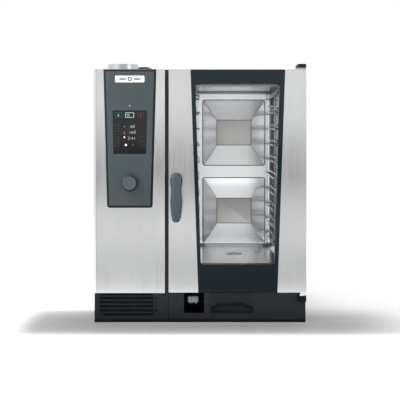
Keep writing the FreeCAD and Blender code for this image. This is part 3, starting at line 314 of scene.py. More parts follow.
def finish_of(slot):
    """The material for one of the record's slots, or for a detail, built the first time it is asked for."""
    if slot in bpy.data.materials and bpy.data.materials[slot].get("oven"):
        return bpy.data.materials[slot]
    if slot in bpy.data.materials:
        bpy.data.materials[slot].name = "packed_" + slot
    look = bpy.context.scene.oven_finishes
    steel = look.steel
    recipes = {
        "brushed_steel": lambda: metal(slot, steel, 0.2),
        "cabinet_steel": lambda: metal(slot, (0.72, 0.725, 0.735), 0.2, (2, 120, 120), 0.04, 0.05),
        "plain_steel": lambda: metal(slot, (0.5, 0.5, 0.51), 0.34, (60, 60, 60), 0.06, 0.05),
        "polished_wire": lambda: metal(slot, (0.72, 0.72, 0.72), 0.14, (300, 300, 300), 0.04, 0.03),
        # painted shade: a darkened copy of the polished wire for the racks
        "rack_wire": lambda: metal(slot, (0.3, 0.31, 0.32), 0.12, (300, 300, 300), 0.04, 0.03),
        "brass": lambda: metal(slot, (0.6, 0.45, 0.2), 0.3, (90, 90, 90), 0.08, 0.06),
        "base_paint": lambda: moulded(slot, look.base, 0.42, 700.0, 0.1, 0.03, 0.16),
        "base_plastic": lambda: moulded(slot, look.base, 0.5, 900.0, 0.14, 0.04, 0.16),
        "black_metal": lambda: moulded(slot, (0.006, 0.007, 0.008), 0.4, 700.0, 0.1, 0.02, 0.1),
        "black_plastic": lambda: moulded(slot, (0.007, 0.008, 0.009), 0.45, 900.0, 0.14, 0.02, 0.12),
        "panel_plastic": lambda: moulded(slot, look.panel, 0.46, 1100.0, 0.12, 0.05),
        "dial_plastic": lambda: moulded(slot, (0.06, 0.078, 0.092), 0.36, 1100.0, 0.08, 0.05),
        # painted shade: a darker copy of the dial plastic for the dial's sides
        "dial_skirt": lambda: moulded(slot, (0.03, 0.039, 0.046), 0.4, 1100.0, 0.1, 0.03, 0.25),
        "shower_grey": lambda: moulded(slot, (0.4, 0.41, 0.42), 0.4, 900.0, 0.06, 0.0, 0.3),
        "handle_plastic": lambda: moulded(slot, look.handle, 0.36, 1100.0, 0.1, 0.05),
        # painted shade: a near-black copy of the handle plastic for the handle's sides
        "handle_side": lambda: moulded(slot, (0.016, 0.02, 0.024), 0.4, 1100.0, 0.1, 0.03, 0.2),
        "cabinet_walls": lambda: metal(slot, (0.7, 0.705, 0.715), 0.2, (120, 2, 120), 0.06, 0.05),
        # painted shade: the pyramids' flat tops, the same steel as the wall, made darker
        "cabinet_flat": lambda: metal(slot, (0.42, 0.413, 0.4), 0.3, (2, 120, 120), 0.04, 0.05),
        "lamp_lens": lambda: moulded(slot, (0.3, 0.32, 0.33), 0.25, 900.0, 0.02, 0.0),
        # painted shade: near-black steel on the pyramids' groove sides, which are the same steel as the
        # wall
        "cabinet_groove": lambda: metal(slot, (0.07, 0.07, 0.075), 0.4, (60, 60, 60), 0.05, 0.05),
        "pale_plastic": lambda: moulded(slot, (0.72, 0.73, 0.74), 0.3, 900.0, 0.05, 0.0),
        "drain_plastic": lambda: moulded(slot, (0.2, 0.21, 0.22), 0.5, 900.0, 0.1, 0.05),
        "black_rubber": lambda: moulded(slot, (0.012, 0.012, 0.013), 0.62, 500.0, 0.2, 0.0),
        "badge_ink": lambda: moulded(slot, (0.03, 0.045, 0.055), 0.4, 900.0, 0.02, 0.0),
        "display_glass": lambda: moulded(slot, (0.01, 0.0115, 0.0125), 0.1, 60.0, 0.01, 0.0, 0.28),
        "door_glass": lambda: printed_door_glass(slot, look.print_colour),
        "clear_glass": lambda: pane(slot, (0.1, 0.12, 0.12), 0.96),
        "circuit_board": lambda: circuit(slot),
        # painted shade: the fleece is coloured near black so the grille's slots in front of it look shaded
        "filter_fleece": lambda: fibres(slot, (0.004, 0.0045, 0.005), (0.012, 0.013, 0.014)),
        "mineral_wool": lambda: fibres(slot, (0.5, 0.42, 0.24), (0.3, 0.25, 0.15)),
        "glow_white": lambda: lit(slot, (0.6, 0.62, 0.63), 0.6),
        "glow_teal": lambda: lit(slot, (0.02, 0.24, 0.23), 0.5),
        "glow_red": lambda: lit(slot, (0.22, 0.02, 0.04), 0.35),
        "glow_pink": lambda: lit(slot, (0.5, 0.16, 0.22), 0.4),
        "line_teal": lambda: lit(slot, (0.02, 0.085, 0.09), 0.3),
        "line_red": lambda: lit(slot, (0.1, 0.018, 0.03), 0.3),
        "key_outline": lambda: lit(slot, (0.05, 0.056, 0.06), 0.15),
        "screen_black": lambda: moulded(slot, (0.002, 0.002, 0.0025), 0.12, 60.0, 0.01, 0.0),
    }
    made = recipes[slot]()
    made["oven"] = True
    return made


# ---- mesh building ----
def join(bm, part):
    """Adds a finished part to a piece, with outward normals."""
    bmesh.ops.recalc_face_normals(part, faces=part.faces)
    held = bpy.data.meshes.new("held")
    part.to_mesh(held)
    part.free()
    bm.from_mesh(held)
    bpy.data.meshes.remove(held)


def paint_last(bm, start, index):
    """Gives the faces added since start a material index."""
    bm.faces.ensure_lookup_table()
    for face in bm.faces[start:]:
        face.material_index = index


def piece_from(bm, name, body, slots, replaced=(), sharp=34.0, rounds=0):
    """Turns a bmesh into a piece that rides on a body, with one material per slot name.
    """
    mesh = bpy.data.meshes.new(name)
    bm.to_mesh(mesh)
    bm.free()
    mesh.shade_smooth()
    mesh.set_sharp_from_angle(angle=math.radians(sharp))
    for slot in slots:
        mesh.materials.append(finish_of(slot))
    piece = bpy.data.objects.new(name, mesh)
    bpy.context.scene.collection.objects.link(piece)
    if rounds:
        smooth = piece.modifiers.new("rounding", "SUBSURF")
        smooth.levels = rounds
        smooth.render_levels = rounds
    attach(piece, body)
    if replaced:
        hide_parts(*replaced)
    return piece


def ease_edges(bm, edges, offset, segments):
    """Rounds edges off."""
    bmesh.ops.bevel(
        bm, geom=edges, offset=offset, segments=segments, profile=0.5, affect="EDGES", material=-1
    )


def draw_out(bm, faces, reach):
    """Gives flat upright faces a thickness along Y."""
    grown = bmesh.ops.extrude_face_region(bm, geom=faces)["geom"]
    ahead = [v for v in grown if isinstance(v, bmesh.types.BMVert)]
    bmesh.ops.translate(bm, verts=ahead, vec=(0, reach, 0))


def plate(corners, front, back, radii=0.0, rim=0.0, steps=6):
    """Upright plate with (x, z) corners between two Y planes, rounded corners and an eased front rim."""
    bm = bmesh.new()
    ends = [bm.verts.new((x, back, z)) for x, z in corners]
    draw_out(bm, [bm.faces.new(ends)], front - back)
    if not isinstance(radii, (list, tuple)):
        radii = [radii] * len(corners)
    for radius in sorted(set(radii) - {0.0}):
        long_edges = []
        for vert, own in zip(ends, radii):
            if own == radius and vert.is_valid:
                long_edges += [e for e in vert.link_edges if abs(e.other_vert(vert).co.y - back) > 1e-7]
        ease_edges(bm, long_edges, radius, steps)
    if rim:
        edges = [e for e in bm.edges if all(abs(v.co.y - front) < 1e-7 for v in e.verts)]
        ease_edges(bm, edges, rim, 2)
    return bm


def lathe(profile, centre, axis, steps=64):
    """Turned solid; profile holds (radius, distance along the axis), closed at the axis or as a ring."""
    bm = bmesh.new()
    axis = Vector(axis).normalized()
    side = axis.orthogonal().normalized()
    centre = Vector(centre)
    verts = [bm.verts.new(centre + side * r + axis * h) for r, h in profile]
    pairs = list(zip(verts, verts[1:]))
    if profile[0][0] > 0:
        pairs.append((verts[-1], verts[0]))
    edges = [bm.edges.new(pair) for pair in pairs]
    bmesh.ops.spin(
        bm, geom=verts + edges, cent=centre, axis=axis, angle=FULL_TURN, steps=steps, use_merge=True
    )
    bmesh.ops.remove_doubles(bm, verts=bm.verts, dist=1e-6)
    return bm


def block(low, high, ease=0.0, segments=3):
    """Box between two corners with all its edges eased."""
    bm = bmesh.new()
    low, high = Vector(low), Vector(high)
    size = high - low
    place = Matrix.Translation((low + high) / 2) @ Matrix.Diagonal((*size, 1))
    bmesh.ops.create_cube(bm, size=1.0, matrix=place)
    if ease:
        ease_edges(bm, bm.edges, ease, segments)
    return bm


def arc_band(centre, inner, outer, start, sweep, front, back, steps=16):
    """Flat band bent along part of a circle on an upright plane; angles run from +X towards +Z."""
    bm = bmesh.new()
    turn = Matrix.Rotation(-start, 4, "Y")
    middle = Vector((centre[0], back, centre[1]))
    ends = [bm.verts.new(middle + turn @ Vector((r, 0, 0))) for r in (inner, outer)]
    edge = bm.edges.new(ends)
    whole = abs(abs(sweep) - FULL_TURN) < 1e-6
    bmesh.ops.spin(
        bm, geom=ends + [edge], cent=middle, axis=(0, -1, 0), angle=sweep, steps=steps, use_merge=whole
    )
    draw_out(bm, bm.faces[:], front - back)
    return bm


def round_dot(x, z, radius, face, ink):
    """Round printed dot on an upright plane."""
    return lathe([(0, 0), (radius, 0), (radius, 2 * ink), (0, 2 * ink)], (x, face, z), (0, -1, 0), 24)


def outline(x0, x1, z0, z1):
    return [(x0, z0), (x1, z0), (x1, z1), (x0, z1)]


def taper(x, half_low, half_top, z0, z1):
    """Outline that is wider at the top than at the bottom."""
    return [(x - half_low, z0), (x + half_low, z0), (x + half_top, z1), (x - half_top, z1)]


def front_face(bm):
    """The face furthest forward, and the largest of those."""
    return max(bm.faces, key=lambda f: (-f.calc_center_median().y, f.calc_area()))


def sink(bm, face, margin, depth):
    """Sets a face back behind a groove round its edge, which gets the second material."""
    ring = bmesh.ops.inset_region(bm, faces=[face], thickness=margin, use_even_offset=True)
    bmesh.ops.translate(bm, verts=face.verts, vec=(0, depth, 0))
    for side in ring["faces"]:
        side.material_index = 1


def pressed_pyramid(x0, x1, z0, z1, wall):
    """Pyramid pressed into sheet: a low rim, slopes that steepen inwards and a flat top."""
    top_shares = (81 / 143, 59.5 / 150.5)
    height = 14.2 * MM
    steepening = 1.35
    steps = 6
    bm = plate(outline(x0, x1, z0, z1), wall - 3 * MM, wall, 12 * MM)
    front = front_face(bm)
    # the groove round the rim and the one round the flat top take the near-black steel: painted shade in
    # the grooves
    sink(bm, front, 4 * MM, 1.2 * MM)
    space = Matrix.Translation((-(x0 + x1) / 2, 0, -(z0 + z1) / 2))
    for i in range(steps):
        now, following = i / steps, (i + 1) / steps
        shrink_x, shrink_z = [(1 - (1 - s) * following) / (1 - (1 - s) * now) for s in top_shares]
        rise = height * (following**steepening - now**steepening)
        grown = bmesh.ops.extrude_face_region(bm, geom=[front])["geom"]
        fresh = [v for v in grown if isinstance(v, bmesh.types.BMVert)]
        if front.is_valid:
            bmesh.ops.delete(bm, geom=[front], context="FACES_ONLY")
        front = [f for f in grown if isinstance(f, bmesh.types.BMFace)][0]
        bmesh.ops.scale(bm, vec=(shrink_x, 1, shrink_z), space=space, verts=fresh)
        bmesh.ops.translate(bm, verts=fresh, vec=(0, -rise, 0))
    sink(bm, front, 3 * MM, 0.6 * MM)
    # painted shade: the flat top takes the darker copy of the wall steel
    front.material_index = 2
    return bm


def digits(words, height, left, middle, front):
    """Numerals as thin raised shapes, left edge and middle height given."""
    curve = bpy.data.curves.new("digits", "FONT")
    curve.body = words
    curve.size = height * 1.36
    curve.extrude = 0.00005
    curve.offset = -0.035 * height
    curve.space_character = 1.1
    curve.align_y = "CENTER"
    holder = bpy.data.objects.new("digits", curve)
    flat = bpy.data.meshes.new_from_object(holder)
    flat.transform(Matrix.Translation((left, front, middle)) @ Matrix.Rotation(math.pi / 2, 4, "X"))
    bm = bmesh.new()
    bm.from_mesh(flat)
    bpy.data.objects.remove(holder)
    bpy.data.curves.remove(curve)
    bpy.data.meshes.remove(flat)
    return bm


# ---- stage building ----
def matt_card(name, grey):
    made, _, shader = start_material(name)
    shader.inputs["Base Color"].default_value = (grey, grey, grey, 1)
    shader.inputs["Roughness"].default_value = 1.0
    return made


def stage_sheet(name, places, material, hidden=()):
    """Unit squares moved to their places as one stage object, which the hidden kinds of ray pass by."""
    bm = bmesh.new()
    for place in places:
        bmesh.ops.create_grid(bm, x_segments=1, y_segments=1, size=0.5, matrix=place)
    mesh = bpy.data.meshes.new(name)
    bm.to_mesh(mesh)
    bm.free()
    mesh.materials.append(material)
    sheet = bpy.data.objects.new(name, mesh)
    bpy.context.scene.collection.objects.link(sheet)
    for ray in hidden:
        setattr(sheet, "visible_" + ray, False)


def area(name, place, aim, size, power):
    """Rectangular lamp that looks at a point."""
    lamp = bpy.data.lights.new(name, "AREA")
    lamp.shape = "RECTANGLE"
    lamp.size, lamp.size_y = size
    lamp.energy = power
    holder = bpy.data.objects.new(name, lamp)
    holder.location = place
    holder.rotation_euler = (Vector(aim) - Vector(place)).to_track_quat("-Z", "Y").to_euler()
    bpy.context.scene.collection.objects.link(holder)


# ---- settings ----
class OvenFinishes(bpy.types.PropertyGroup):
    steel: FloatVectorProperty(
        name="Steel", description="The brushed covers", subtype="COLOR", default=(0.665, 0.67, 0.675)
    )
    base: FloatVectorProperty(
        name="Base", description="The base", subtype="COLOR", default=(0.021, 0.028, 0.035)
    )
    panel: FloatVectorProperty(
        name="Panel", description="The operating panel", subtype="COLOR", default=(0.04, 0.056, 0.062)
    )
    handle: FloatVectorProperty(
        name="Handle", description="The door handle", subtype="COLOR", default=(0.042, 0.061, 0.076)
    )
    print_colour: FloatVectorProperty(
        name="Glass print", description="The enamel print", subtype="COLOR", default=(0.006, 0.013, 0.018)
    )


class OvenSizes(bpy.types.PropertyGroup):
    window_bottom: FloatProperty(
        name="Window bottom", description="Height of the window's lower edge", default=0.233, unit="LENGTH"
    )
    window_top: FloatProperty(
        name="Window top", description="Height of the window's upper edge", default=0.957, unit="LENGTH"
    )
    window_half_bottom: FloatProperty(
        name="Window lower half", description="Half its width at the bottom", default=0.148, unit="LENGTH"
    )
    window_half_top: FloatProperty(
        name="Window upper half", description="Half its width at the top", default=0.170, unit="LENGTH"
    )
    window_corner: FloatProperty(
        name="Window corner", description="Radius of its corners", default=0.009, unit="LENGTH"
    )
    panel_rim: FloatProperty(
        name="Panel rim", description="Width of the panel's slanting rim", default=0.009, unit="LENGTH"
    )
    ink: FloatProperty(
        name="Print thickness", description="Thickness of printed marks", default=0.00015, unit="LENGTH"
    )


class OvenStudio(bpy.types.PropertyGroup):
    lens: FloatProperty(name="Lens", description="Focal length in mm", default=90.3)
    distance: FloatProperty(
        name="Camera distance", description="From the door's face", default=4.0, unit="LENGTH"
    )
    eye: FloatProperty(
        name="Eye height", description="Height of the camera", default=0.779, unit="LENGTH"
    )
    shift: FloatProperty(name="Lens shift", description="Downward view shift", default=-0.18)
    sky: FloatProperty(name="Sky", description="Strength of the even light all round", default=0.88)
    key_power: FloatProperty(name="Key light", description="Power of the large soft light", default=100.0)
    lamp_power: FloatProperty(name="Cabinet lamp", description="Power of the lamp inside", default=0.62)


# ---- pieces ----
class OVEN_OT_finishes(bpy.types.Operator):
    """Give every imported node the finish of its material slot"""

    bl_idname = "oven.finishes"
    bl_label = "Finish packed nodes"

    def execute(self, context):
        special = {
            "cabinet_liner": "cabinet_walls",
            "fan_baffle": "cabinet_walls",
            "status_lamp": "lamp_lens",
            "shower_grip": "shower_grey",
            # the racks take the darkened wire: painted shade
            "rack_left": "rack_wire",
            "rack_right": "rack_wire",
        }
        for part in frame["record"]["subparts"]:
            node = frame["nodes"][part["node"]]
            slot = special.get(part["node"], part["material_slot"])
            if not node.material_slots:
                node.data.materials.append(None)
            for holder in node.material_slots:
                holder.material = finish_of(slot)
        return {"FINISHED"}


class OVEN_OT_control_panel(bpy.types.Operator):
    """Operating panel: one moulded shell with a slanting black rim"""

    bl_idname = "oven.control_panel"
    bl_label = "Operating panel"

    def execute(self, context):
        rim = context.scene.oven_sizes.panel_rim
        low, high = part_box("control_panel")
        glass_low, glass_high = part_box("display_glass")
        centre = (low.x + high.x) / 2
        half_top = (high.x - low.x) / 2
        half_low = half_top - 15 * MM
        corners = taper(centre, half_low, half_top, low.z, high.z)
        root = high.y
        step = low.y + 5.5 * MM
        shell = plate(corners, step, root, [10 * MM, 10 * MM, 0.0, 0.0])
        front = front_face(shell)
        bmesh.ops.inset_region(shell, faces=[front], thickness=rim, use_even_offset=True)
        bmesh.ops.translate(shell, verts=front.verts, vec=(0, low.y - step, 0))
        ease_edges(shell, list(front.edges), 1.1 * MM, 3)
        bmesh.ops.recalc_face_normals(shell, faces=shell.faces)
        for face in shell.faces:
            face.material_index = 0 if face.calc_center_median().y < low.y + 0.3 * MM else 1
        bm = bmesh.new()
        join(bm, shell)
        count = len(bm.faces)
        grow = 0.8 * MM
        mid = (glass_low.x + glass_high.x) / 2
        half = (glass_high.x - glass_low.x) / 2 + grow
        seat = taper(mid, half - 4 * MM, half, glass_low.z - grow, glass_high.z + grow)
        join(bm, plate(seat, low.y - 0.06 * MM, low.y + 1 * MM, 3.5 * MM))
        paint_last(bm, count, 1)
        piece_from(bm, "operating_panel", "base", ["panel_plastic", "black_plastic"], ["control_panel"])
        return {"FINISHED"}


class OVEN_OT_display(bpy.types.Operator):
    """Marks, keys and numerals behind the display glass, and the sign on the badge"""

    bl_idname = "oven.display"
    bl_label = "Display marks"

    def execute(self, context):
        ink = context.scene.oven_sizes.ink
        low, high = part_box("display_glass")
        centre = (low.x + high.x) / 2
        face = low.y
        bm = bmesh.new()
        slots = [
            "screen_black",
            "key_outline",
            "glow_white",
            "glow_teal",
            "glow_red",
            "glow_pink",
            "line_teal",
            "line_red",
        ]

        def add(part, slot):
            start = len(bm.faces)
            join(bm, part)
            paint_last(bm, start, slots.index(slot))

        def mark(x0, x1, z0, z1, slot, layer=1, radius=0.0):
            front = face - ink * layer
            add(plate(outline(x0, x1, z0, z1), front, face, radius, 0.0, 3), slot)

        def key(x, z, width, height, slot="key_outline", line=0.9 * MM):
            x0, x1, z0, z1 = x - width / 2, x + width / 2, z - height / 2, z + height / 2
            level = [(x0, x1, z0, z0 + line), (x0, x1, z1 - line, z1)]
            upright = [(x0, x0 + line, z0, z1), (x1 - line, x1, z0, z1)]
            for bar in level + upright:
                mark(*bar, slot, 2)

        def drop(x, z, radius, slot):
            part = bmesh.new()
            turn = Matrix.Translation((x, face - ink, z)) @ Matrix.Rotation(math.pi / 2, 4, "X")
            bmesh.ops.create_circle(part, cap_ends=True, segments=20, radius=radius, matrix=turn)
            for vert in part.verts:
                up = max(0.0, (vert.co.z - z) / radius)
                vert.co.x = x + (vert.co.x - x) * (1 - 0.75 * up)
                vert.co.z += up * up * radius * 0.8
            draw_out(part, part.faces[:], -ink)
            add(part, slot)

        screen_x = (centre - 29 * MM, centre + 32 * MM)
        screen_z = (low.z + 23 * MM, low.z + 121 * MM)
        mark(*screen_x, *screen_z, "screen_black")
        top = high.z - 18 * MM
        key(centre - 45 * MM, top, 27 * MM, 20 * MM, "line_teal", 1.3 * MM)
        key(centre + 43.5 * MM, top, 27 * MM, 20 * MM, "line_red", 1.3 * MM)
        drop(centre - 45.5 * MM, top - 1.5 * MM, 4.4 * MM, "glow_teal")
        ring = (centre + 43.5 * MM, top)
        add(arc_band(ring, 2.6 * MM, 4.6 * MM, 0, FULL_TURN, face - 2 * ink, face, 20), "glow_red")
        key(centre - 0.5 * MM, top, 34 * MM, 20 * MM, "glow_white", 1.3 * MM)
        mark(centre - 12 * MM, centre - 0.5 * MM, top - 5 * MM, top + 5 * MM, "glow_teal", 2, 2 * MM)
        rows = [low.z + h * MM for h in (108.5, 85.5, 61.5, 37.5)]
        for z in rows:
            key(centre - 51.5 * MM, z, 18 * MM, 17 * MM)
        for z in rows[2:]:
            key(centre + 49.5 * MM, z, 18 * MM, 17 * MM)
        drop(centre - 21.5 * MM, rows[0] - 1 * MM, 2.6 * MM, "glow_teal")
        mark(centre - 22.4 * MM, centre - 20.8 * MM, rows[1] - 5 * MM, rows[1] + 4 * MM, "glow_pink", 2)
        add(round_dot(centre - 21.5 * MM, rows[1] - 5 * MM, 2 * MM, face, ink), "glow_pink")
        add(round_dot(centre - 21.5 * MM, rows[2] + 4.5 * MM, 3.4 * MM, face, ink), "glow_white")
        mark(centre - 22 * MM, centre - 21 * MM, rows[2] - 5.5 * MM, rows[2] - 0.5 * MM, "key_outline", 2)
        add(round_dot(centre - 15.5 * MM, rows[3] - 2.5 * MM, 4.6 * MM, face, ink), "glow_white")
        for lift in (-3.2, 0, 3.2):
            z = rows[3] - 2.5 * MM + lift * MM
            mark(centre + 8 * MM, centre + 17 * MM, z - 0.8 * MM, z + 0.8 * MM, "key_outline", 2)
        values = (("60", 2.5, 0), ("160", -3.5, 1), ("2:41", -8.5, 2))
        for words, left, row in values:
            z = rows[row] - 0.5 * MM
            add(digits(words, 12.5 * MM, centre + left * MM, z, face - 2 * ink), "glow_white")
        piece_from(bm, "display_marks", "base", slots)

        low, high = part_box("badge_plate")
        middle = (low + high) / 2
        sign = bmesh.new()
        ring = ((middle.x, middle.z), 4.6 * MM, 8.4 * MM, 0, FULL_TURN)
        join(sign, arc_band(*ring, low.y - ink, low.y + ink, 32))
        for side in (-1, 1):
            x0, x1 = sorted((middle.x + side * 16 * MM, middle.x + side * 42 * MM))
            bar = outline(x0, x1, middle.z - 2.6 * MM, middle.z + 2.6 * MM)
            join(sign, plate(bar, low.y - ink, low.y + ink, 2.5 * MM, 0.0, 4))
        piece_from(sign, "badge_sign", "base", ["badge_ink"])
        return {"FINISHED"}


class OVEN_OT_dial(bpy.types.Operator):
    """Turning dial with a broad skirt, a tapering crown and a slightly dished face"""

    bl_idname = "oven.dial"
    bl_label = "Dial"

    def execute(self, context):
        low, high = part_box("dial_knob")
        centre = ((low.x + high.x) / 2, low.y, (low.z + high.z) / 2)
        radius = (high.x - low.x) / 2
        scale = radius / 35
        stem_end = high.y - low.y
        # radius and depth behind the face, in mm
        dished_face = [(0, 0.8), (15, 0.7), (22.5, 0.25), (24.4, 0)]
        crown = [(26.2, 0.6), (27.2, 2.4), (29.6, 12), (30.9, 18.5)]
        skirt = [(31.6, 20.4), (33, 21.6), (34.4, 23.6), (35, 30.8), (34.6, 32), (24, 32)]
        hollow = [(24, 24), (8, 24), (8, 32), (3, 32)]
        profile = [(r * scale, h * MM) for r, h in dished_face + crown + skirt + hollow]
        profile += [(3 * scale, stem_end), (0, stem_end)]
        bm = bmesh.new()
        join(bm, lathe(profile, centre, (0, 1, 0), 72))
        # every face behind the front face takes the darker copy: painted shade on the dial's sides
        for face in bm.faces:
            face.material_index = 1 if face.calc_center_median().y > low.y + 1.2 * MM else 0
        piece_from(bm, "dial", "dial", ["dial_plastic", "dial_skirt"], ["dial_knob"], 28)
        return {"FINISHED"}


class OVEN_OT_handle(bpy.types.Operator):
    """Door handle: a soft lobe over the spindle, a waist and a long belly, in one moulding"""

    bl_idname = "oven.handle"
    bl_label = "Door handle"

    def execute(self, context):
        low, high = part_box("handle_lever")
        spindle_low, spindle_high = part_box("latch_spindle")
        boss = Vector(((low.x + high.x) / 2, high.y, (spindle_low.z + spindle_high.z) / 2))
        bm = bmesh.new()
        # in mm: height over the spindle, half width, front and back distance from the lever's foot
        stations = (
            (25.4, 5, 43.0, 34.5),
            (23.5, 12, 46.0, 31.0),
            (18.0, 18.5, 49.0, 27.5),
            (9.0, 23.0, 51.0, 24.8),
            (0.0, 24.6, 52.2, 23.5),
            (-12.0, 23.8, 53.6, 24.5),
            (-27.0, 20.6, 56.0, 28.0),
            (-41.0, 19.3, 58.6, 32.0),
            (-58.0, 20.8, 62.2, 37.0),
            (-78.0, 22.9, 65.4, 41.5),
            (-98.0, 22.8, 66.6, 43.4),
            (-120.0, 21.0, 66.4, 43.4),
            (-142.0, 18.6, 64.6, 42.8),
            (-157.0, 15.8, 62.0, 43.2),
            (-163.5, 11.0, 59.8, 45.0),
            (-165.6, 5.0, 57.4, 48.0),
        )
        face_y = high.y + 1 * MM
        loops = []
        for rise, half, front, back in stations:
            centre = Vector((boss.x, face_y - (front + back) / 2 * MM, boss.z + rise * MM))
            made = bmesh.ops.create_circle(
                bm, segments=20, radius=1.0, matrix=Matrix.Translation(centre)
            )
            deep = (front - back) / 2 * MM
            for vert in made["verts"]:
                off = vert.co - centre
                squared = [math.copysign(abs(c) ** 0.78, c) for c in (off.x, off.y)]
                vert.co = centre + Vector((squared[0] * half * MM, squared[1] * deep, 0))
            loops.append({e for v in made["verts"] for e in v.link_edges})
        for first, second in zip(loops, loops[1:]):
            bmesh.ops.bridge_loops(bm, edges=list(first | second))
        bmesh.ops.holes_fill(bm, edges=list(loops[0]) + list(loops[-1]))
        bmesh.ops.recalc_face_normals(bm, faces=bm.faces)
        # faces not turned to the front take the near-black copy: painted shade on the handle's sides
        for face in bm.faces:
            face.material_index = 0 if face.normal.y < -0.8 else 1
        slots = ["handle_plastic", "handle_side"]
        piece_from(bm, "handle_grip", "handle", slots, ["handle_lever"], 60, 2)
        neck = bmesh.new()
        profile = [(7, 0), (17, 0), (19, 1), (19, 27), (7, 27)]
        scaled = [(r * MM, h * MM) for r, h in profile]
        join(neck, lathe(scaled, boss, (0, -1, 0), 48))
        piece_from(neck, "handle_neck", "handle", ["handle_plastic"])
        return {"FINISHED"}


class OVEN_OT_cabinet_back(bpy.types.Operator):
    """Rear wall of the cabinet: a deep-drawn tub with two pressed pyramids"""

    bl_idname = "oven.cabinet_back"
    bl_label = "Cabinet rear wall"

    def execute(self, context):
        low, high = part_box("cabinet_rear_wall")
        sheet = 1.5 * MM
        corner = 24 * MM
        bm = bmesh.new()
        tub = block(low, high)
        bmesh.ops.delete(tub, geom=[front_face(tub)], context="FACES_ONLY")
        ease_edges(tub, [e for e in tub.edges if len(e.link_faces) == 2], corner, 8)
        bmesh.ops.recalc_face_normals(tub, faces=tub.faces)
        outward = max(tub.faces, key=lambda f: f.calc_area())
        if outward.normal.y < 0:
            bmesh.ops.reverse_faces(tub, faces=tub.faces)
        bmesh.ops.solidify(tub, geom=tub.faces[:], thickness=sheet)
        join(bm, tub)
        left, right = low.x + 150.5 * MM, high.x - 36.5 * MM
        tall, gap = 309 * MM, 54 * MM
        lowest = low.z + 10.5 * MM
        for bottom in (lowest, lowest + tall + gap):
            join(bm, pressed_pyramid(left, right, bottom, bottom + tall, high.y - sheet))
        # second and third finishes are darker copies of the cabinet steel: painted shade in the grooves and
        # on the flat tops
        slots = ["cabinet_steel", "cabinet_groove", "cabinet_flat"]
        piece_from(bm, "cabinet_back", "base", slots, ["cabinet_rear_wall"], 20)
        return {"FINISHED"}


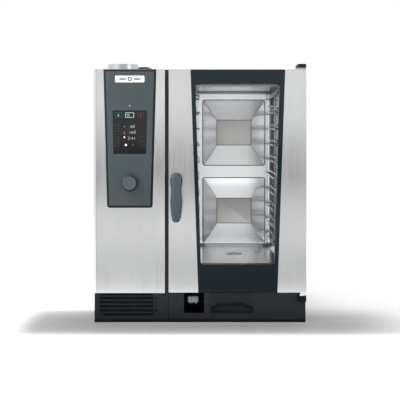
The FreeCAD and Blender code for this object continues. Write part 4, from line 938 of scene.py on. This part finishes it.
class OVEN_OT_top_fittings(bpy.types.Operator):
    """Flue collar with a rolled lip, capped vent, hinge cover and the top's screws"""

    bl_idname = "oven.top_fittings"
    bl_label = "Top fittings"

    def execute(self, context):
        low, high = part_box("flue_collar")
        radius = (high.x - low.x) / 2 - 6 * MM
        centre = Vector(((low.x + high.x) / 2, (low.y + high.y) / 2, 0))
        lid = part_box("top_cover")[1].z
        profile = [
            (radius - 2 * MM, low.z),
            (radius, low.z),
            (radius, lid),
            (radius + 5.4 * MM, lid),
            (radius + 6 * MM, lid + 0.6 * MM),
            (radius + 5.6 * MM, lid + 1.8 * MM),
            (radius + 1.2 * MM, lid + 2 * MM),
            (radius, lid + 3.2 * MM),
            (radius, high.z - 1 * MM),
            (radius - 1 * MM, high.z),
            (radius - 2 * MM, high.z - 1 * MM),
        ]
        bm = bmesh.new()
        join(bm, lathe(profile, centre, (0, 0, 1), 96))
        piece_from(bm, "flue", "base", ["plain_steel"], ["flue_collar"])

        low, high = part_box("vent_hat")
        radius = (high.x - low.x) / 2
        centre = Vector(((low.x + high.x) / 2, (low.y + high.y) / 2, 0))
        bm = bmesh.new()
        rim = high.z - 15 * MM
        hat = [
            (0, high.z),
            (20.5 * MM, high.z),
            (23 * MM, high.z - 0.8 * MM),
            (radius - 0.6 * MM, rim + 0.8 * MM),
            (radius, rim),
            (radius - 1.2 * MM, rim - 0.2 * MM),
            (radius - 3 * MM, rim + 0.4 * MM),
            (21 * MM, high.z - 2.2 * MM),
            (0, high.z - 2.2 * MM),
        ]
        join(bm, lathe(hat, centre, (0, 0, 1), 72))
        pipe = [
            (20.5 * MM, low.z),
            (22 * MM, low.z),
            (22 * MM, lid),
            (33.4 * MM, lid),
            (34 * MM, lid + 1 * MM),
            (33.4 * MM, lid + 2 * MM),
            (23 * MM, lid + 2 * MM),
            (22 * MM, lid + 3 * MM),
            (22 * MM, high.z - 8 * MM),
            (20.5 * MM, high.z - 8 * MM),
        ]
        join(bm, lathe(pipe, centre, (0, 0, 1), 48))
        for i in range(3):
            inner = (20.6 * MM, -2 * MM, high.z - 14 * MM)
            outer = (24 * MM, 2 * MM, high.z - 2 * MM)
            strut = block(inner, outer, 0.4 * MM)
            turn = Matrix.Translation(centre) @ Matrix.Rotation(i * FULL_TURN / 3, 4, "Z")
            bmesh.ops.transform(strut, matrix=turn, verts=strut.verts)
            join(bm, strut)
        piece_from(bm, "vent_cap", "base", ["black_metal"], ["vent_hat"])

        low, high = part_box("hinge_cap_top")
        cover = block(low, high)
        upright = [e for e in cover.edges if abs((e.verts[0].co - e.verts[1].co).z) > 1 * MM]
        ease_edges(cover, upright, 6 * MM, 6)
        top = [e for e in cover.edges if all(v.co.z > high.z - 1e-6 for v in e.verts)]
        ease_edges(cover, top, 2.6 * MM, 4)
        bm = bmesh.new()
        join(bm, cover)
        piece_from(bm, "hinge_cover", "base", ["black_plastic"], ["hinge_cap_top"])

        low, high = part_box("top_cover")
        bm = bmesh.new()
        inset = 14 * MM
        along = [low.x + inset + i * (high.x - low.x - 2 * inset) / 4 for i in range(5)]
        spots = [(x, high.y - inset) for x in along]
        sides, deep = (along[0], along[-1]), high.y - low.y
        spots += [(x, low.y + deep * share) for x in sides for share in (0.3, 0.65)]
        places = [Matrix.Translation((x, y, high.z)) for x, y in spots]
        low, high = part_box("rear_panel")
        upright = Matrix.Rotation(-math.pi / 2, 4, "X")
        for x in (low.x + inset, high.x - inset):
            for i in range(5):
                z = low.z + inset + i * (high.z - low.z - 2 * inset) / 4
                places.append(Matrix.Translation((x, high.y - 1.5 * MM, z)) @ upright)
        for place in places:
            head = [(0, 1.4 * MM), (2.4 * MM, 1.3 * MM), (4 * MM, 0.8 * MM), (4.5 * MM, 0), (0, 0)]
            screw = lathe(head, (0, 0, 0), (0, 0, 1), 16)
            bmesh.ops.transform(screw, matrix=place, verts=screw.verts)
            join(bm, screw)
            # the cross recess is not cut: two black bars raised just above the head stand for its shade,
            # painted shade
            for turn in (0, math.pi / 2):
                slot = block((-1.9 * MM, -0.35 * MM, 0.9 * MM), (1.9 * MM, 0.35 * MM, 1.45 * MM))
                bmesh.ops.transform(
                    slot, matrix=place @ Matrix.Rotation(turn, 4, "Z"), verts=slot.verts
                )
                start = len(bm.faces)
                join(bm, slot)
                paint_last(bm, start, 1)
        piece_from(bm, "cover_screws", "base", ["plain_steel", "black_metal"])
        return {"FINISHED"}


class OVEN_OT_lower_hinge(bpy.types.Operator):
    """Lower hinge: black block let into the base, with a turned steel barrel and pin"""

    bl_idname = "oven.lower_hinge"
    bl_label = "Lower hinge"

    def execute(self, context):
        low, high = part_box("hinge_bracket_bottom")
        bush_low, bush_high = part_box("hinge_bushes")
        pivot = ((bush_low.x + bush_high.x) / 2, (bush_low.y + bush_high.y) / 2)
        block_top = low.z + 24 * MM
        base_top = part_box("base_tray")[1].z
        body = block(low, (high.x, low.y + 61 * MM, block_top))
        front = [
            e
            for e in body.edges
            if all(v.co.y < low.y + 1 * MM for v in e.verts)
            and abs(e.verts[0].co.z - e.verts[1].co.z) > 1 * MM
        ]
        ease_edges(body, front, 5 * MM, 5)
        rim = [e for e in body.edges if all(v.co.z > block_top - 1e-6 for v in e.verts)]
        ease_edges(body, rim, 0.8 * MM, 2)
        bm = bmesh.new()
        join(bm, body)
        join(bm, block((low.x, low.y + 57 * MM, low.z), (high.x - 3.5 * MM, high.y, base_top), 0.5 * MM))
        count = len(bm.faces)
        heights = (block_top - 1 * MM, block_top + 8 * MM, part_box("door_frame")[0].z - 0.5 * MM)
        barrel = [
            (0, heights[0]),
            (13 * MM, heights[0]),
            (13 * MM, heights[1] - 0.8 * MM),
            (12.2 * MM, heights[1]),
            (10 * MM, heights[1]),
            (10 * MM, heights[2] - 0.5 * MM),
            (9.5 * MM, heights[2]),
            (6 * MM, heights[2]),
            (6 * MM, high.z - 1 * MM),
            (5 * MM, high.z),
            (0, high.z),
        ]
        join(bm, lathe(barrel, (*pivot, 0), (0, 0, 1), 48))
        paint_last(bm, count, 1)
        slots = ["black_metal", "polished_wire"]
        piece_from(bm, "lower_hinge", "base", slots, ["hinge_bracket_bottom"])
        return {"FINISHED"}


class OVEN_OT_studio(bpy.types.Operator):
    """Pale floor, soft light and the camera in front of the door"""

    bl_idname = "oven.studio"
    bl_label = "Studio"

    def execute(self, context):
        setup = context.scene.oven_studio
        scene = context.scene
        scene.view_settings.view_transform = "Standard"
        world = bpy.data.worlds.new("studio")
        world.use_nodes = True
        sky = world.node_tree.nodes["Background"]
        sky.inputs["Color"].default_value = (1.0, 1.0, 1.0, 1)
        path = put(world.node_tree, "ShaderNodeLightPath").outputs
        mirrored = setup.sky * 1.28
        level = spread(world.node_tree, path["Is Glossy Ray"], setup.sky, mirrored)
        level = calc(world.node_tree, "MAXIMUM", level, path["Is Camera Ray"])
        world.node_tree.links.new(level, sky.inputs["Strength"])
        scene.world = world
        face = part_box("column_front")[0].y

        pale, tree, shader = start_material("studio_floor")
        place = own_place(tree)
        cloud = noise(tree, place, 2.0, 2.0)
        shade = blend_colour(tree, cloud, (0.93, 0.93, 0.93, 1), (0.95, 0.95, 0.95, 1))
        tree.links.new(shade, shader.inputs["Base Color"])
        tree.links.new(shade, shader.inputs["Emission Color"])
        shader.inputs["Emission Strength"].default_value = 0.2
        shader.inputs["Roughness"].default_value = 0.8
        shader.inputs["Specular IOR Level"].default_value = 0.1
        stage_sheet("floor", [Matrix.Diagonal((18, 18, 1, 1))], pale)

        # cards that only reflections see, behind the camera and on the floor in front
        hidden = ("camera", "diffuse", "shadow", "transmission")
        dull = matt_card("studio_card", 0.1)
        behind = Matrix.Translation((0, face - setup.distance - 0.7, 0))
        upright = Matrix.Rotation(math.pi / 2, 4, "X")
        places = []
        for middle, tall in ((0.42, 0.42), (2.3, 1.2)):
            lift = Matrix.Translation((0, 0, middle))
            places.append(behind @ lift @ upright @ Matrix.Diagonal((8, tall, 1, 1)))
        stage_sheet("dark_card", places, dull, hidden)
        spot = Matrix.Translation((0, face - 1.55, 0.01)) @ Matrix.Diagonal((3.2, 1.7, 1, 1))
        stage_sheet("grey_card", [spot], matt_card("studio_grey", 0.42), hidden)

        # flags that only shade the floor beside and before the base
        low, high = CAD_BOX
        spots = (
            ((-high.x - 0.18, low.y + 0.06, 0.15), (0.36, 0.5, 1, 1)),
            ((high.x + 0.18, low.y + 0.06, 0.15), (0.36, 0.5, 1, 1)),
            ((0, face - 0.13, 0.12), (1.0, 0.24, 1, 1)),
        )
        places = [Matrix.Translation(spot) @ Matrix.Diagonal(scale) for spot, scale in spots]
        stage_sheet("flags", places, dull, ("camera", "glossy", "transmission"))

        area("key", (-2.2, face - 0.9, 2.7), (0, face, 0.4), (2.0, 1.6), setup.key_power)
        area("fill", (2.4, face - 1.8, 1.6), (0, 0, 0.5), (1.2, 1.8), setup.key_power * 0.12)
        low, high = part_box("cabinet_liner")
        front = low.y + 12 * MM
        middle = (low.z + high.z) / 2
        aim = (0.15, high.y, middle)
        area("cabinet_lamp", (0.15, front, middle), aim, (0.3, 0.66), setup.lamp_power)

        lens = bpy.data.cameras.new("camera")
        lens.lens = setup.lens
        lens.sensor_width = 36.0
        lens.shift_y = setup.shift
        camera = bpy.data.objects.new("camera", lens)
        camera.location = (0, face - setup.distance, setup.eye)
        camera.rotation_euler = (math.pi / 2, 0, 0)
        scene.collection.objects.link(camera)
        scene.camera = camera
        return {"FINISHED"}


class OVEN_PT_panel(bpy.types.Panel):
    bl_idname = "OVEN_PT_panel"
    bl_label = "Combi steamer oven"
    bl_space_type = "VIEW_3D"
    bl_region_type = "UI"
    bl_category = "Oven"

    def draw(self, context):
        for group in (context.scene.oven_finishes, context.scene.oven_sizes, context.scene.oven_studio):
            for name in group.__annotations__:
                self.layout.prop(group, name)
        for operator in OPERATORS:
            self.layout.operator(operator.bl_idname)


OPERATORS = (
    OVEN_OT_studio,
    OVEN_OT_finishes,
    OVEN_OT_control_panel,
    OVEN_OT_display,
    OVEN_OT_dial,
    OVEN_OT_handle,
    OVEN_OT_cabinet_back,
    OVEN_OT_top_fittings,
    OVEN_OT_lower_hinge,
)
CLASSES = (OvenFinishes, OvenSizes, OvenStudio, *OPERATORS, OVEN_PT_panel)


def register():
    for item in CLASSES:
        bpy.utils.register_class(item)
    bpy.types.Scene.oven_finishes = PointerProperty(type=OvenFinishes)
    bpy.types.Scene.oven_sizes = PointerProperty(type=OvenSizes)
    bpy.types.Scene.oven_studio = PointerProperty(type=OvenStudio)


def unregister():
    del bpy.types.Scene.oven_studio
    del bpy.types.Scene.oven_sizes
    del bpy.types.Scene.oven_finishes
    for item in reversed(CLASSES):
        bpy.utils.unregister_class(item)


def main():
    register()
    for operator in OPERATORS:
        group, name = operator.bl_idname.split(".")
        getattr(getattr(bpy.ops, group), name)()


if __name__ == "__main__":
    main()
